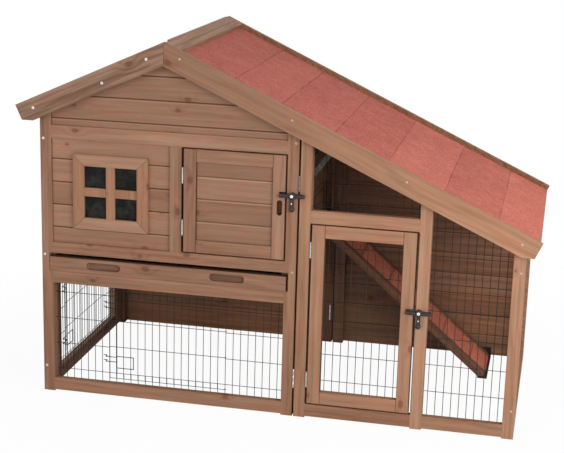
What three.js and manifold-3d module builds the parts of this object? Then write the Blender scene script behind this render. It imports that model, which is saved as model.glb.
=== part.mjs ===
// Two-storey wooden rabbit house with an outdoor run under one long gable roof.
// Millimetres. While the pieces are made, X runs to the right from the outer face of the
// front left post, Y runs back from the front faces of the posts and Z is the height above
// the ground. The finished group is moved so that the origin is at the middle of the
// object's ground area.

import * as THREE from 'three';
import { mergeVertices } from 'three/addons/utils/BufferGeometryUtils.js';
import Module from 'manifold-3d';

const wasm = await Module();
wasm.setup();

// ---------------------------------------------------------------- driving dimensions

// Plan
const postWidth = 33;
const houseClearWidth = 687;        // between the two front posts of the house
const moduleGap = 4;                // between the posts of the house and of the run
const runDoorwayWidth = 303;
const runBayWidth = 225;            // wire bay to the right of the run's middle post
const bodyDepth = 690;

// Front of the house, from the ground up
const railGroundGap = 4;            // the posts stand this much lower than the rails
const bottomRailHeight = 37;
const lowerStoreyHeight = 296;
const trayLowRailHeight = 35;
const trayOpeningHeight = 55;
const trayTopRailHeight = 33;
const houseDoorwayHeight = 306;
const beamHeight = 38;
const wallBayWidth = 351;           // planked bay with the window
const doorStileWidth = 35;
const railDepth = 18;

// Front of the run
const runDoorwayHeight = 535;       // from the top of the bottom rail to the header rail
const headerHeight = 36;

// Shiplap boards
const boardPitch = 67;
const boardThickness = 12;
const boardSetback = 6;             // front of the boards behind the front of the posts
const boardGroove = 3;
const frontFirstJoint = 505;        // heights of the lowest joints that show
const gableFirstJoint = 824;
const sideFirstJoint = 405;
const backFirstJoint = 71;

// Doors
const doorGap = 3;                  // running gap round a door
const hingeGap = 5;                 // gap at the hinge side
const doorThickness = 18;
const doorStile = 37;
const doorPanelPitch = 65;
const doorPanelFirst = 54.5;        // from the lower rail to the first joint
const doorPanelThickness = 9;
const doorPanelSetback = 6;
const doorPanelGroove = 2.5;
const fingerSlotWidth = 15;
const fingerSlotHeight = 44;
const fingerSlotDepth = 12;
const fingerSlotShift = 2;          // from the middle of the stile
const fingerSlotRise = 153;         // middle of the slot above the doorway's sill

// Window
const windowLeft = 65;              // from the left post to the window frame
const windowSill = 47;              // from the tray's top rail to the window frame
const windowWidth = 223;
const windowHeight = 218;
const windowFrameWidth = 33;
const windowFrameThickness = 10;
const windowBarWidth = 25;
const windowBarThickness = 7;
const windowUprightProud = 2;       // the upright bar stands in front of the other
const paneThickness = 2;
const paneLap = 5;

// Tray
const trayRebate = 11;              // the tray opening is cut this far into the posts
const trayRebateDepth = 20;
const trayFrontHeight = 44;
const trayFrontThickness = 18;
const traySideGap = 1.5;
const trayRightGap = 5.5;
const trayFloorThickness = 0.8;
const trayWallHeight = 38;
const trayWallThickness = 1.5;
const trayPanInset = 17;            // from the posts' inner faces to the pan's sides
const traySlotLength = 103;
const traySlotHeight = 22;
const traySlotDepth = 9;
const traySlotInsetLeft = 111;      // from the front board's ends to the slots
const traySlotInsetRight = 121;
const trayBackGap = 12;
const runnerInset = 3;              // from the posts' inner faces
const runnerWidth = 42;
const runnerHeight = 16;

// Welded wire
const wireHalfWidth = 0.95;
const wireThickness = 1.6;
const crossWireStep = 0.2;          // the cross wires' ridges lie behind the upright ones'
const wirePitch = 22;
const wireRise = 79.2;
const wireClearance = 0.1;
const wireEndGap = 0.5;
const wireSideMargin = 3;           // least distance from a post to an upright wire
const wireEdgeMargin = 1;           // least distance from a net's edge to a wire
const doorWireMargin = 4;
const netLap = 14;                  // the nets reach this far over the rails and stiles
const houseWireInset = 10.5;        // first upright wire beside the left post
const houseLowestWire = 67;         // heights of the lowest cross wires
const runLowestWire = 111;
const runDoorWireInset = 9;
const runBayWireInset = 12;
const topNetFirstWire = 9;          // above the header rail

// Wire doors in the lower storey
const wireDoorCells = 16;           // width of a wire door in wire pitches
const wireDoorRows = 3;
const wireDoorFirstWire = 7;        // net wire beside the front door's latch
const wireDoorOverlap = 15;         // the door reaches past its opening, up and down
const wireDoorDepth = 15;           // front of the door's wires behind the front of the rails
const wireDoorEdge = 2;             // the door's edge wire stands beside the opening's
const wireDoorRise = 4;             // its cross wires stand this much higher than the net's
const ringRadius = 2.3;
const ringThickness = 0.8;
const latchRadius = 1.2;
const latchReach = 19.5;            // from the opening's edge wire to the tips of the hooks
const latchCrossing = 9.5;          // from the opening's edge wire to where the hooks go in
const latchRodInset = 24.5;         // from the opening's edge wire to the upright rod
const latchBehind = 25;             // depth of the hooks behind the front of the rails
const latchHookGap = 15;
const latchHandleReach = 51;
const latchHandleHeight = 36;
const latchLowHookHeight = 104;     // heights above the ground
const latchHighHookHeight = 270;
const latchHandleLow = 86;
const latchRodTop = 294;

// Side walls
const sideFrameDepth = 18;
const sideStileWidth = 65;
const sideDoorInset = 31.5;         // from the front stile's edge to the wire door
const sideBoardsInset = 3;
const panelJoint = 1;               // pieces of one panel run this far into each other
const endStileWidth = 40;           // framed net at the right end of the run
const endTopRailHeight = 37;

// Roof
const roofPitch = THREE.MathUtils.degToRad(24.6);
const ridgeX = 370;
const gableRise = 253.5;            // from the gable beam's top to the ridge
const leftEaveOverhang = 64;        // level distances from the end posts to the eaves
const rightEaveOverhang = 41;
const roofOverhang = 22;            // past the front and the back of the posts
const bargeWidth = 60;
const bargeThickness = 16;
const bargeEndDepth = 46;
const mitreGap = 0.6;
const hingeSlot = 2.8;              // half of the slot at the ridge that takes the hinges
const feltDepth = 14;               // felt's top below the barge boards' top edges
const feltThickness = 2.5;
const deckThickness = 10;
const eaveInset = 4;
const ridgeStripWidth = 52;
const ridgeStripThickness = 13.5;
const battenWidth = 30;
const battenThickness = 18;
const battenEndGap = 7;
const ridgeBatten = 60;             // distances from the ridge along the slope
const rightEaveBattenInset = 62.3;  // from the last batten to the eaves
const leftEaveBattenInset = 37.3;
const roofSeat = 0.5;               // between the roof and the walls that carry it
const softGap = 0.3;                // between pieces that bear on each other

// Ramp
const rampAngle = THREE.MathUtils.degToRad(40);
const rampWidth = 196;
const rampBackGap = 3;              // between the ramp and the rear posts
const rampFootX = 1277;
const rampThickness = 9;
const rampRailHeight = 22;
const rampRailWidth = 26;
const rampFeltThickness = 2.5;
const rampFootStrip = 18.5;         // level length of the flat under the rails' feet
const rampRungs = 6;
const rampFeltSink = 3;             // of the felt below the top edges of the rails
const rampRungProud = 3;            // above the felt
const rampRungTaper = 1;
const rampRungWidth = 12;

// Partition between the upper storey and the run
const hatchWidth = 202;
const hatchSill = 10;
const hatchHeight = 230;
const partitionThickness = 12;
const partitionInset = 10;

// Hinges and turn latches
const leafThickness = 1.1;
const leafDepth = 16;
const ridgeLeafDepth = 28;
const leafPlay = 0.05;
const hingeLength = 46;
const ridgeHingeInset = 25;         // from the front and the back of the posts
const doorKnuckles = 3;
const ridgeKnuckles = 5;
const knuckleRadius = 2.4;
const knuckleOut = 1.6;             // barrel's middle in front of the timber
const knuckleGap = 0.4;
const houseHingeRise = 52;          // from a doorway's sill to the lower hinge
const houseHingeDrop = 57;          // from a doorway's top to the upper hinge
const runHingeRise = 53;
const runHingeDrop = 53;
const latchBarLength = 72;
const latchBarHeight = 11;
const latchThickness = 6;
const latchStandOff = 4;
const latchHub = 9.5;
const latchTabLength = 38;
const latchTabWidth = 10;
const latchKnob = 7.5;
const latchPin = 2.5;
const latchPinDepth = 14;
const latchBore = 2.8;
const latchNotchGap = 2.5;          // round the notch in a door's edge behind the latch bar
const houseLatchRise = 191;         // above the doorway's sill
const runLatchRise = 305;           // above the bottom rail
const runLatchInset = 10;           // from the middle post's left face

// Lid stay
const stayLength = 140;
const stayAngle = THREE.MathUtils.degToRad(54);
const stayWidth = 14;
const stayThickness = 3;
const stayPin = 3;
const stayBore = 3.4;
const stayFromPartition = 111.4;    // level distance from the partition's face to the pin
const stayPinDepth = 16;

// ---------------------------------------------------------------- derived levels

const houseRight = postWidth + houseClearWidth + postWidth;
const runLeft = houseRight + moduleGap;
const runDoorLeft = runLeft + postWidth;
const middlePost = runDoorLeft + runDoorwayWidth;
const bayLeft = middlePost + postWidth;
const bayRight = bayLeft + runBayWidth;
const runRight = bayRight + postWidth;
const clearRight = postWidth + houseClearWidth;
const backPosts = bodyDepth - postWidth;

const bottomRailTop = railGroundGap + bottomRailHeight;
const trayRailLow = bottomRailTop + lowerStoreyHeight;
const trayFloor = trayRailLow + trayLowRailHeight;
const trayCeiling = trayFloor + trayOpeningHeight;
const houseSill = trayCeiling + trayTopRailHeight;
const beamLow = houseSill + houseDoorwayHeight;
const beamTop = beamLow + beamHeight;
const headerLow = bottomRailTop + runDoorwayHeight;
const headerTop = headerLow + headerHeight;

const ridgeHeight = beamTop + gableRise;
const leftReach = ridgeX + leftEaveOverhang;
const rightReach = runRight + rightEaveOverhang - ridgeX;
const leftLength = leftReach / Math.cos(roofPitch);
const rightLength = rightReach / Math.cos(roofPitch);

const stileLeft = postWidth + wallBayWidth;
const houseDoorwayLeft = stileLeft + doorStileWidth;

const feltUnder = feltDepth + feltThickness;
const deckTop = feltUnder + softGap;
const deckUnder = deckTop + deckThickness;
const battenUnder = deckUnder + battenThickness;
const bargeFront = -roofOverhang;
const bargeBack = bodyDepth + roofOverhang;
const deckFront = bargeFront + bargeThickness + softGap;
const deckBack = bargeBack - bargeThickness;
const battenFront = postWidth + battenEndGap;

const netFront = railDepth + wireClearance;

// ---------------------------------------------------------------- materials

function material(color, roughness, metalness = 0) {
  return new THREE.MeshStandardMaterial({ color, roughness, metalness, flatShading: true });
}

const pine = material(0xa87a5c, 0.62);
const pineLight = material(0xb98763, 0.6);
const pineDark = material(0x8c6248, 0.66);
const felt = material(0xc06c62, 0.95);
const blackWire = material(0x1c1d1f, 0.45, 0.3);
const blackPlastic = material(0x17181a, 0.4);
const zinc = material(0xc9c9c6, 0.35, 0.9);
const smokedPane = material(0x1a1d20, 0.12);

// ---------------------------------------------------------------- shape helpers

const X = new THREE.Vector3(1, 0, 0);
const Y = new THREE.Vector3(0, 1, 0);
const Z = new THREE.Vector3(0, 0, 1);

function positionsOnly(geometry) {
  geometry.deleteAttribute('normal');
  geometry.deleteAttribute('uv');
  geometry.clearGroups();
  return mergeVertices(geometry, 1e-4);
}

// A prism: 2-D points along two axes, extruded along the third, right-handed one.
function prism(points, depth, xAxis, yAxis, origin) {
  const shape = new THREE.Shape(points.map(([a, b]) => new THREE.Vector2(a, b)));
  const geometry = new THREE.ExtrudeGeometry(shape, { depth, bevelEnabled: false });
  const zAxis = new THREE.Vector3().crossVectors(xAxis, yAxis);
  const frame = new THREE.Matrix4().makeBasis(xAxis, yAxis, zAxis).setPosition(...origin);
  return positionsOnly(geometry.applyMatrix4(frame));
}

// An X-Z outline between two depths.
function slabY(points, front, back) {
  return prism(points, back - front, X, Z, [0, back, 0]);
}

// A Y-Z outline between two places along X.
function slabX(points, left, right) {
  return prism(points, right - left, Y, Z, [left, 0, 0]);
}

function block(x0, x1, y0, y1, z0, z1) {
  const geometry = new THREE.BoxGeometry(x1 - x0, y1 - y0, z1 - z0);
  geometry.translate((x0 + x1) / 2, (y0 + y1) / 2, (z0 + z1) / 2);
  return positionsOnly(geometry);
}

function cylinder(from, to, radius, sides = 16) {
  const start = new THREE.Vector3(...from);
  const along = new THREE.Vector3(...to).sub(start);
  const geometry = new THREE.CylinderGeometry(radius, radius, along.length(), sides);
  geometry.translate(0, along.length() / 2, 0);
  geometry.applyQuaternion(new THREE.Quaternion().setFromUnitVectors(Y, along.normalize()));
  geometry.translate(...from);
  return positionsOnly(geometry);
}

function toSolid(geometry) {
  const vertProperties = new Float32Array(geometry.attributes.position.array);
  const triVerts = new Uint32Array(geometry.index.array);
  return new wasm.Manifold(new wasm.Mesh({ numProp: 3, vertProperties, triVerts }));
}

function fromSolid(solid) {
  const { vertProperties, triVerts } = solid.getMesh();
  const geometry = new THREE.BufferGeometry();
  geometry.setAttribute('position', new THREE.BufferAttribute(vertProperties, 3));
  geometry.setIndex(new THREE.BufferAttribute(triVerts, 1));
  return geometry;
}

function fuse(parts) {
  return fromSolid(parts.map(toSolid).reduce((sum, part) => sum.add(part)));
}

function cut(part, holes) {
  return fromSolid(holes.map(toSolid).reduce((rest, hole) => rest.subtract(hole), toSolid(part)));
}

function clip(part, limit) {
  return fromSolid(toSolid(part).intersect(toSolid(limit)));
}

function disc(x, z, radius, sides = 24) {
  return Array.from({ length: sides }, (_, i) => {
    const angle = (2 * Math.PI * i) / sides;
    return [x + radius * Math.cos(angle), z + radius * Math.sin(angle)];
  });
}

// A bar with half-round ends, centred on [x, z].
function roundedBar(x, z, length, height, steps = 8) {
  const radius = Math.min(length, height) / 2;
  const reach = Math.max(length, height) / 2 - radius;
  const points = [];
  for (const end of [1, -1]) {
    for (let i = 0; i <= steps; i += 1) {
      const angle = Math.PI * (i / steps - end / 2);
      const along = end * reach + radius * Math.cos(angle);
      const across = radius * Math.sin(angle);
      points.push(length > height ? [x + along, z + across] : [x - across, z + along]);
    }
  }
  return points;
}

// ---------------------------------------------------------------- roof geometry

// Height of the plane that lies a given depth below the barge boards' top edges.
function roofLevel(x, depth) {
  return ridgeHeight - Math.abs(x - ridgeX) * Math.tan(roofPitch) - depth / Math.cos(roofPitch);
}

// A point on a slope: side -1 or 1, distance from the ridge along it, depth below the top.
function onSlope(side, along, depth) {
  const x = ridgeX + side * (along * Math.cos(roofPitch) - depth * Math.sin(roofPitch));
  return [x, ridgeHeight - along * Math.sin(roofPitch) - depth * Math.cos(roofPitch)];
}

// Where a slope's plane at a given depth meets the upright plane beside the ridge.
function besideRidge(side, halfGap, depth) {
  const x = ridgeX + side * halfGap;
  return [x, roofLevel(x, depth)];
}

const seatDepth = deckUnder + roofSeat;

// Everything below the roof boards, over the whole house and run.
function underRoof(depth = seatDepth) {
  const left = ridgeX - leftReach;
  const right = ridgeX + rightReach;
  return slabY([
    [left, -1],
    [right, -1],
    [right, roofLevel(right, depth)],
    [ridgeX, roofLevel(ridgeX, depth)],
    [left, roofLevel(left, depth)],
  ], -1, bodyDepth + 1);
}

// ---------------------------------------------------------------- timber

function post(left, front, width = postWidth) {
  const right = left + width;
  return slabY([
    [left, 0],
    [right, 0],
    [right, roofLevel(right, seatDepth)],
    [left, roofLevel(left, seatDepth)],
  ], front, front + postWidth);
}

// Section of a wall of boards with a V groove at each joint: [depth behind the face, height].
function boardSection(low, high, firstJoint, pitch, thickness, groove) {
  const points = [[0, low]];
  for (let z = firstJoint; z < high - groove; z += pitch) {
    if (z > low + groove) {
      points.push([0, z - groove], [groove, z], [0, z + groove]);
    }
  }
  return [...points, [0, high], [thickness, high], [thickness, low]];
}

// Boards along X whose grooved face looks forwards (out = -1) or backwards (out = 1).
function boardsAlongX(left, right, face, low, high, firstJoint, out = -1) {
  const section = boardSection(low, high, firstJoint, boardPitch, boardThickness, boardGroove);
  return slabX(section.map(([d, z]) => [face - out * d, z]), left, right);
}

// Boards along Y whose grooved face looks to the left (out = -1) or to the right (out = 1).
function boardsAlongY(front, back, face, low, high, firstJoint, out) {
  const section = boardSection(low, high, firstJoint, boardPitch, boardThickness, boardGroove);
  return slabY(section.map(([d, z]) => [face - out * d, z]), front, back);
}

// ---------------------------------------------------------------- welded wire

// The wires are three-sided, with the ridge in front. A wall tells how its own directions,
// u along it, v up and depth behind its outer face, lie in the model.
const frontWall = {
  put: (u, v, depth) => [u, depth, v],
  upright: (u, low, high, depth) => prism([
    [u - wireHalfWidth, depth + wireThickness],
    [u + wireHalfWidth, depth + wireThickness],
    [u, depth],
  ], high - low, X, Y, [0, 0, low]),
  level: (v, from, to, depth) => slabX([
    [depth + wireThickness, v - wireHalfWidth],
    [depth + wireThickness, v + wireHalfWidth],
    [depth + crossWireStep, v],
  ], from, to),
};

// A side wall with its outer face at the given X. inwards is 1 for the left, -1 for the right.
function sideWall(face, inwards) {
  return {
    put: (u, v, depth) => [face + inwards * depth, u, v],
    upright: (u, low, high, depth) => prism([
      [face + inwards * (depth + wireThickness), u - wireHalfWidth],
      [face + inwards * (depth + wireThickness), u + wireHalfWidth],
      [face + inwards * depth, u],
    ], high - low, X, Y, [0, 0, low]),
    level: (v, from, to, depth) => slabY([
      [face + inwards * (depth + wireThickness), v - wireHalfWidth],
      [face + inwards * (depth + wireThickness), v + wireHalfWidth],
      [face + inwards * (depth + crossWireStep), v],
    ], from, to),
  };
}
const leftWall = sideWall(0, 1);
const rightWall = sideWall(runRight, -1);

// Places along a row, spaced by the pitch from the first one on, inside the two limits.
function row(first, pitch, low, high) {
  const places = [];
  for (let at = first - pitch * Math.floor((first - low) / pitch); at < high; at += pitch) {
    if (at > low) {
      places.push(at);
    }
  }
  return places;
}

// A flat net with wires at the places us and vs. Its height can change along u and its
// length along v. opening, if given, is a doorway {left, right, low, high} on its wires.
function net(wall, us, vs, uLow, uHigh, vLow, vHigh, opening = null) {
  const wires = [];
  for (const u of us) {
    const cutOut = opening && u > opening.left + 1 && u < opening.right - 1;
    const spans = cutOut
      ? [[vLow, opening.low], [opening.high, vHigh(u)]]
      : [[vLow, vHigh(u)]];
    spans.forEach(([low, high]) => wires.push(wall.upright(u, low, high, netFront)));
  }
  for (const v of vs) {
    const cutOut = opening && v > opening.low + 1 && v < opening.high - 1;
    const spans = cutOut
      ? [[uLow, opening.left], [opening.right, uHigh(v)]]
      : [[uLow, uHigh(v)]];
    spans.forEach(([from, to]) => wires.push(wall.level(v, from, to, netFront)));
  }
  return fuse(wires);
}

function doorway(left, low) {
  return {
    left,
    low,
    right: left + wirePitch * wireDoorCells,
    high: low + wireRise * wireDoorRows,
  };
}

// A wire door in front of a net's doorway. It hangs with rings on the net's wire at the
// doorway's right edge.
function wireDoor(wall, opening) {
  const low = opening.low - wireDoorOverlap;
  const high = opening.high + wireDoorOverlap;
  const edge = opening.left + wireDoorEdge;
  const rises = [low, high];
  for (let i = 1; i < wireDoorRows; i += 1) {
    rises.push(opening.low + i * wireRise + wireDoorRise);
  }
  const parts = [wall.upright(edge, low - wireHalfWidth, high + wireHalfWidth, wireDoorDepth)];
  for (let cell = 1; cell < wireDoorCells; cell += 1) {
    const u = opening.left + cell * wirePitch;
    parts.push(wall.upright(u, low, high, wireDoorDepth));
  }
  const ringDepth = netFront + wireThickness / 2;
  for (const v of rises) {
    const ring = new THREE.TorusGeometry(ringRadius, ringThickness, 6, 10);
    parts.push(wall.level(v, edge, opening.right, wireDoorDepth));
    parts.push(positionsOnly(ring.translate(...wall.put(opening.right, v, ringDepth))));
  }
  return fuse(parts);
}

// A round wire with bends: straight stretches joined by small balls.
function bentWire(points) {
  const rods = points.slice(1).map((point, i) => cylinder(points[i], point, latchRadius, 6));
  const balls = points.slice(1, -1).map((point) => {
    const ball = new THREE.IcosahedronGeometry(latchRadius * 1.1);
    return positionsOnly(ball.translate(...point));
  });
  return fuse([...rods, ...balls]);
}

// The sliding latch of a wire door: an upright rod with a handle loop and two hooks, which
// go in beside the doorway's edge wire and reach behind the next wire.
function wireLatch(wall, opening) {
  const depth = wireDoorDepth - softGap - latchRadius;
  const rod = opening.left + latchRodInset;
  const through = opening.left - latchCrossing;
  const tip = opening.left - latchReach;
  const path = (...points) => bentWire(points.map(([u, v, d = depth]) => wall.put(u, v, d)));
  const hook = (low) => {
    const high = low + latchHookGap;
    return [
      path([rod, low], [through, low], [through, low, latchBehind], [tip, low, latchBehind]),
      path([rod, high], [through, high], [through, high, latchBehind], [tip, high, latchBehind]),
    ];
  };
  const handleHigh = latchHandleLow + latchHandleHeight;
  return fuse([
    path([rod, latchHandleLow - latchHookGap], [rod, latchRodTop]),
    ...hook(latchLowHookHeight),
    ...hook(latchHighHookHeight),
    path(
      [rod, latchHandleLow], [rod + latchHandleReach, latchHandleLow],
      [rod + latchHandleReach, handleHigh], [rod, handleHigh],
    ),
  ]);
}

// ---------------------------------------------------------------- hinges and latches

// One leaf of a butt hinge, with its axis along Z through the origin and its plate towards
// +Y. side -1 is the leaf on the left with the end knuckles, 1 the leaf on the right.
function hingeLeaf(length, knuckles, side, gap, depth) {
  const outer = side * (gap / 2 - leafPlay);
  const inner = outer - side * leafThickness;
  const step = length / knuckles;
  const parts = [
    block(Math.min(outer, inner), Math.max(outer, inner), 0, knuckleOut + depth, 0, length),
  ];
  const free = [];
  for (let i = 0; i < knuckles; i += 1) {
    const low = i * step;
    const mine = (i % 2 === 0) === (side < 0);
    if (mine) {
      const from = low + (i > 0 ? knuckleGap / 2 : 0);
      const to = low + step - (i < knuckles - 1 ? knuckleGap / 2 : 0);
      parts.push(cylinder([0, 0, from], [0, 0, to], knuckleRadius));
    } else {
      const from = low - (i > 0 ? 0 : 1);
      const to = low + step + (i < knuckles - 1 ? 0 : 1);
      free.push(cylinder([0, 0, from], [0, 0, to], knuckleRadius + softGap));
    }
  }
  return cut(fuse(parts), free);
}

function doorHinge(x, z, side) {
  const leaf = hingeLeaf(hingeLength, doorKnuckles, side, hingeGap, leafDepth);
  return leaf.translate(x, -knuckleOut, z);
}

// A turn latch: a bar with a tab and a knob below its hub, and a pin that turns in the post.
function turnLatch(x, z) {
  const back = -latchStandOff;
  const front = back - latchThickness;
  const half = latchTabWidth / 2;
  return fuse([
    slabY(roundedBar(x, z, latchBarLength, latchBarHeight), front, back),
    slabY([
      [x - half, z],
      [x - half, z - latchTabLength],
      [x + half, z - latchTabLength],
      [x + half, z],
    ], front, back),
    slabY(disc(x, z - latchTabLength, latchKnob), front, back),
    slabY(disc(x, z, latchHub), front, -softGap),
    cylinder([x, -softGap - 1, z], [x, latchPinDepth, z], latchPin),
  ]);
}
function latchHole(x, z) {
  return cylinder([x, -1, z], [x, latchPinDepth + 1, z], latchBore);
}
function latchNotch(x, z, doorEdge) {
  const half = latchBarHeight / 2 + latchNotchGap;
  const left = x - latchBarLength / 2 - latchNotchGap;
  return block(left, doorEdge + 1, -1, doorThickness + 1, z - half, z + half);
}

// ---------------------------------------------------------------- the model

const model = new THREE.Group();

function add(name, geometry, finish) {
  const mesh = new THREE.Mesh(geometry, finish);
  mesh.name = name;
  model.add(mesh);
}

// Posts. The front ones of the house are rebated where the tray's front board goes in.
function trayRebateBlock(left, right) {
  return block(left, right, -1, trayRebateDepth, trayFloor, trayCeiling);
}
const houseLatchX = clearRight + postWidth / 2;
const houseLatchZ = houseSill + houseLatchRise;
const runLatchX = middlePost + runLatchInset;
const runLatchZ = bottomRailTop + runLatchRise;
add('house_post_front_left', cut(post(0, 0), [
  trayRebateBlock(postWidth - trayRebate, postWidth + 1),
]), pine);
add('house_post_front_right', cut(post(clearRight, 0), [
  trayRebateBlock(clearRight - 1, clearRight + trayRebate),
  latchHole(houseLatchX, houseLatchZ),
]), pine);
add('run_post_front_left', post(runLeft, 0), pine);
add('run_post_middle', cut(post(middlePost, 0), [latchHole(runLatchX, runLatchZ)]), pineLight);
add('run_post_front_right', post(bayRight, 0), pineLight);

// Rails of the house front
function rail(left, right, low, height) {
  return block(left, right, 0, railDepth, low, low + height);
}
add('gable_beam', rail(postWidth, clearRight, beamLow, beamHeight), pine);
add('tray_top_rail', rail(postWidth, clearRight, trayCeiling, trayTopRailHeight), pine);
add('house_bottom_rail', rail(postWidth, clearRight, railGroundGap, bottomRailHeight), pine);
add('door_stile', rail(stileLeft, houseDoorwayLeft, houseSill, houseDoorwayHeight), pine);

// Boards of the house front
add('gable_boards', clip(boardsAlongX(
  postWidth + softGap, clearRight - softGap, boardSetback, beamTop, ridgeHeight, gableFirstJoint,
), underRoof()), pine);

const windowX = postWidth + windowLeft;
const windowZ = houseSill + windowSill;
const windowRight = windowX + windowWidth;
const windowTop = windowZ + windowHeight;
const paneX = windowX + windowFrameWidth - paneLap;
const paneZ = windowZ + windowFrameWidth - paneLap;
const paneRight = windowRight - windowFrameWidth + paneLap;
const paneTop = windowTop - windowFrameWidth + paneLap;
add('front_wall_boards', cut(boardsAlongX(
  postWidth + softGap, stileLeft - softGap, boardSetback, houseSill, beamLow, frontFirstJoint,
), [
  block(
    paneX - softGap, paneRight + softGap, -1, railDepth + 1, paneZ - softGap, paneTop + softGap,
  ),
]), pine);

// Window: a frame with an upright bar and a lower one across, and a pane behind them
function windowFrame() {
  const inner = windowFrameWidth;
  const back = boardSetback;
  const front = back - windowFrameThickness;
  const middleX = (windowX + windowRight) / 2;
  const middleZ = (windowZ + windowTop) / 2;
  const half = windowBarWidth / 2;
  const frame = cut(block(windowX, windowRight, front, back, windowZ, windowTop), [block(
    windowX + inner, windowRight - inner, front - 1, back + 1, windowZ + inner, windowTop - inner,
  )]);
  return fuse([
    frame,
    block(
      middleX - half, middleX + half, back - windowBarThickness - windowUprightProud, back,
      windowZ + inner - 1, windowTop - inner + 1,
    ),
    block(
      windowX + inner - 1, windowRight - inner + 1, back - windowBarThickness, back,
      middleZ - half, middleZ + half,
    ),
  ]);
}
add('window_frame', windowFrame(), pineLight);
add('window_pane', block(
  paneX, paneRight, boardSetback, boardSetback + paneThickness, paneZ, paneTop,
), smokedPane);

// Net and wire door in the front of the lower storey
const lowerNetLow = bottomRailTop - netLap;
const lowerNetHigh = trayRailLow + netLap;
const frontFirstWire = postWidth + houseWireInset;
const frontOpening = doorway(frontFirstWire + wirePitch * wireDoorFirstWire, houseLowestWire);
add('front_net', net(
  frontWall,
  row(frontFirstWire, wirePitch, postWidth + wireSideMargin, clearRight - wireSideMargin),
  row(houseLowestWire, wireRise, lowerNetLow + wireEdgeMargin, lowerNetHigh - wireEdgeMargin),
  postWidth + wireEndGap, () => clearRight - wireEndGap,
  lowerNetLow, () => lowerNetHigh,
  frontOpening,
), blackWire);
add('front_wire_door', wireDoor(frontWall, frontOpening), blackWire);
add('front_wire_latch', wireLatch(frontWall, frontOpening), blackWire);

// Left wall: boards above, a framed net with its own wire door below
const sideBayFront = postWidth + sideStileWidth;
const sideBayBack = backPosts - sideStileWidth;
add('side_frame_left', cut(
  block(0, sideFrameDepth, postWidth + softGap, backPosts - softGap, railGroundGap, trayFloor),
  [block(-1, sideFrameDepth + 1, sideBayFront, sideBayBack, bottomRailTop, trayRailLow)],
), pine);
const sideOpening = doorway(sideBayFront + sideDoorInset, houseLowestWire);
add('side_net_left', net(
  leftWall,
  row(
    sideOpening.left, wirePitch,
    sideBayFront - netLap + wireEdgeMargin, sideBayBack + netLap - wireEdgeMargin,
  ),
  row(houseLowestWire, wireRise, lowerNetLow + wireEdgeMargin, lowerNetHigh - wireEdgeMargin),
  sideBayFront - netLap, () => sideBayBack + netLap,
  lowerNetLow, () => lowerNetHigh,
  sideOpening,
), blackWire);
add('side_wire_door', wireDoor(leftWall, sideOpening), blackWire);
add('side_wire_latch', wireLatch(leftWall, sideOpening), blackWire);
add('side_boards_left', boardsAlongY(
  postWidth + softGap, backPosts - softGap, sideBoardsInset,
  trayFloor, roofLevel(0, battenUnder + roofSeat), sideFirstJoint, -1,
), pine);

// Right wall of the run: a framed net
const endFrameTop = roofLevel(runRight, battenUnder + roofSeat);
const endBayFront = postWidth + endStileWidth;
const endBayBack = backPosts - endStileWidth;
const endBayTop = endFrameTop - endTopRailHeight;
add('side_frame_right', cut(
  block(
    runRight - sideFrameDepth, runRight, postWidth + softGap, backPosts - softGap,
    railGroundGap, endFrameTop,
  ),
  [block(
    runRight - sideFrameDepth - 1, runRight + 1, endBayFront, endBayBack,
    bottomRailTop, endBayTop,
  )],
), pineLight);
add('side_net_right', net(
  rightWall,
  row(
    endBayFront + runBayWireInset, wirePitch,
    endBayFront - netLap + wireEdgeMargin, endBayBack + netLap - wireEdgeMargin,
  ),
  row(runLowestWire, wireRise, lowerNetLow + wireEdgeMargin, endBayTop + netLap - wireEdgeMargin),
  endBayFront - netLap, () => endBayBack + netLap,
  lowerNetLow, () => endBayTop + netLap,
), blackWire);

// Back panels: two posts with boards down to the ground between them
function backPanel(left, right) {
  const boards = boardsAlongX(
    left + postWidth - panelJoint, right - postWidth + panelJoint, bodyDepth - boardSetback,
    railGroundGap, ridgeHeight, backFirstJoint, 1,
  );
  return fuse([
    post(left, backPosts),
    post(right - postWidth, backPosts),
    clip(boards, underRoof()),
  ]);
}
add('back_panel_house', backPanel(0, houseRight), pineDark);
add('back_panel_run', backPanel(runLeft, runRight), pineDark);

// Partition between the upper storey and the run, with the hatch to the ramp
const hatchFront = backPosts - hatchWidth;
const partitionX = clearRight + partitionInset;
const partitionRight = partitionX + partitionThickness;
const hatchLow = trayCeiling + hatchSill;
add('partition_boards', cut(
  boardsAlongY(
    postWidth + softGap, backPosts - softGap, partitionRight,
    trayCeiling, roofLevel(houseRight, battenUnder + roofSeat), frontFirstJoint, 1,
  ),
  [block(
    partitionX - 1, partitionRight + 1, hatchFront, hatchFront + hatchWidth - 1,
    hatchLow, hatchLow + hatchHeight,
  )],
), pineDark);

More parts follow.
